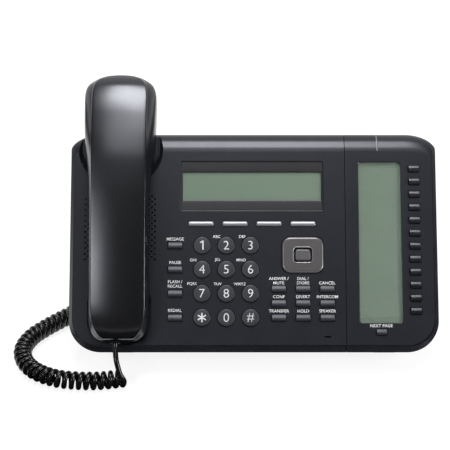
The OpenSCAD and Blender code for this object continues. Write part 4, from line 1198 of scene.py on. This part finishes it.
def cap_solid(outline, middle, top, bottom):
    """A cap on the inner shell with a rounded edge, its sides drawn in towards its middle."""
    bm = bmesh.new()
    levels = [(1, top), (1, bottom + 1.2), (0.985, bottom + 0.5), (0.95, bottom + 0.1), (0.9, bottom)]
    loft(bm, [[(middle[0] + (u - middle[0]) * shrink, middle[1] + (v - middle[1]) * shrink, w)
               for u, v in outline] for shrink, w in levels])
    return bm


def grille(v, rings, radius, steps=10):
    """The outlines of the round holes in front of a capsule."""
    spots = [(r, 2 * math.pi * i / n) for r, n in rings for i in range(n)]
    return [circle((HANDSET_U + r * math.cos(a), v + r * math.sin(a)), radius, steps) for r, a in spots]


def make_handset_back():
    back = settle(back_shell(BACK_STEP), "handset_outer_shell", polished_abs, "handset", sharp=60)
    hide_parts("handset_back")


def make_handset_face():
    ear_w, mouth_w = CAP_DROP - EAR_T, CAP_DROP - MOUTH_T
    ear_cap = cap_solid(ear_cap_outline(EAR_CAP_R), (HANDSET_U, sum(EAR_CAP_V) / 2), 3, ear_w)
    mouth = (HANDSET_U, MOUTH_CAP_V)
    mouth_cap = cap_solid(circle(mouth, MOUTH_CAP_R, 40), mouth, 2, mouth_w)
    shell = carve(face_solid(0, PARTING_GAP, FACE_STEP), ear_cap, "UNION")
    shell = carve(shell, mouth_cap, "UNION")
    shell = carve(shell, face_solid(SHELL_WALL, -PAST, HOLLOW_STEP))
    shell = cut_plates(
        shell, ([circle((HANDSET_U, RECEIVER_V), RECEIVER_R, 40)], -CAPSULE_TOP, -ear_w - SHELL_WALL),
        ([circle((HANDSET_U, MIC_V), MIC_R, 24)], -CAPSULE_TOP, -mouth_w - SHELL_WALL))
    shell = cut_plates(
        shell, (grille(RECEIVER_V, GRILLE_RINGS, EAR_HOLE_R), 0, -ear_w + PAST),
        (grille(MIC_V, GRILLE_RINGS[:2], MIC_HOLE_R), 0, -mouth_w + PAST))
    socket = bmesh.new()
    box(socket, (PLUG_U - PLUG_W / 2, 0, PLUG_LOW), (PLUG_U + PLUG_W / 2, PLUG_L, PLUG_HIGH))
    shell = carve(shell, socket)
    face = settle(shell, "handset_inner_shell", polished_abs, "handset", sharp=32)
    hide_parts("handset_face")


# Black ABS from a polished mould: deep and glossy, with a very slight orange-peel
polished_abs = grained_finish("polished_black_abs", "#0f1012", "#0c0d0f", 0.26, 1, 1.2,
                              **{**SHINE, "Specular IOR Level": 0.95})
make_handset_back()
make_handset_face()

# ---------------------------------------------------------------- nodes kept from the frame
# The hidden and plain parts keep their moulded shapes: rear cover, stand, feet, screws, board,
# key mat, loudspeaker, sockets, plugs, capsules and the hook plunger.
# Matt rubber, satin plastics and plated or painted steel, plain as they come from their makers
rubber = grained_finish("black_nitrile_rubber", "#161616", "#1d1d1d", 0.75, 0.8, 20)
dress(grained_abs, "rear_cover", "stand")
dress(rubber, "front_feet", "stand_feet")
dress(key_abs, "hook_switch")
dress(grained_finish("silicone_key_mat", "#85857f", "#7d7d77", 0.6, 1, 8), "key_mat")
dress(grained_finish("socket_nylon", "#c9c6ba", "#bfbcb0", 0.5, 0.8, 6), "jack_block")
dress(grained_finish("black_plug_polycarbonate", "#101113", "#0c0d0f", 0.22, 2, 3),
      "handset_plug", "base_plug")
dress(grained_finish("green_solder_mask", "#1d5a36", "#194e2f", 0.4, 0.6, 12), "main_board")
dress(grained_finish("zinc_plated_steel", "#b9bbbd", "#a9abad", 0.35, 0.4, 6, Metallic=1.0),
      "case_screws")
dress(grained_finish("painted_speaker_steel", "#2c2c2e", "#242426", 0.5, 0.6, 8), "loudspeaker")
dress(grained_finish("capsule_aluminium", "#8a8b8d", "#7c7d7f", 0.4, 0.5, 6, Metallic=1.0),
      "earpiece", "microphone")
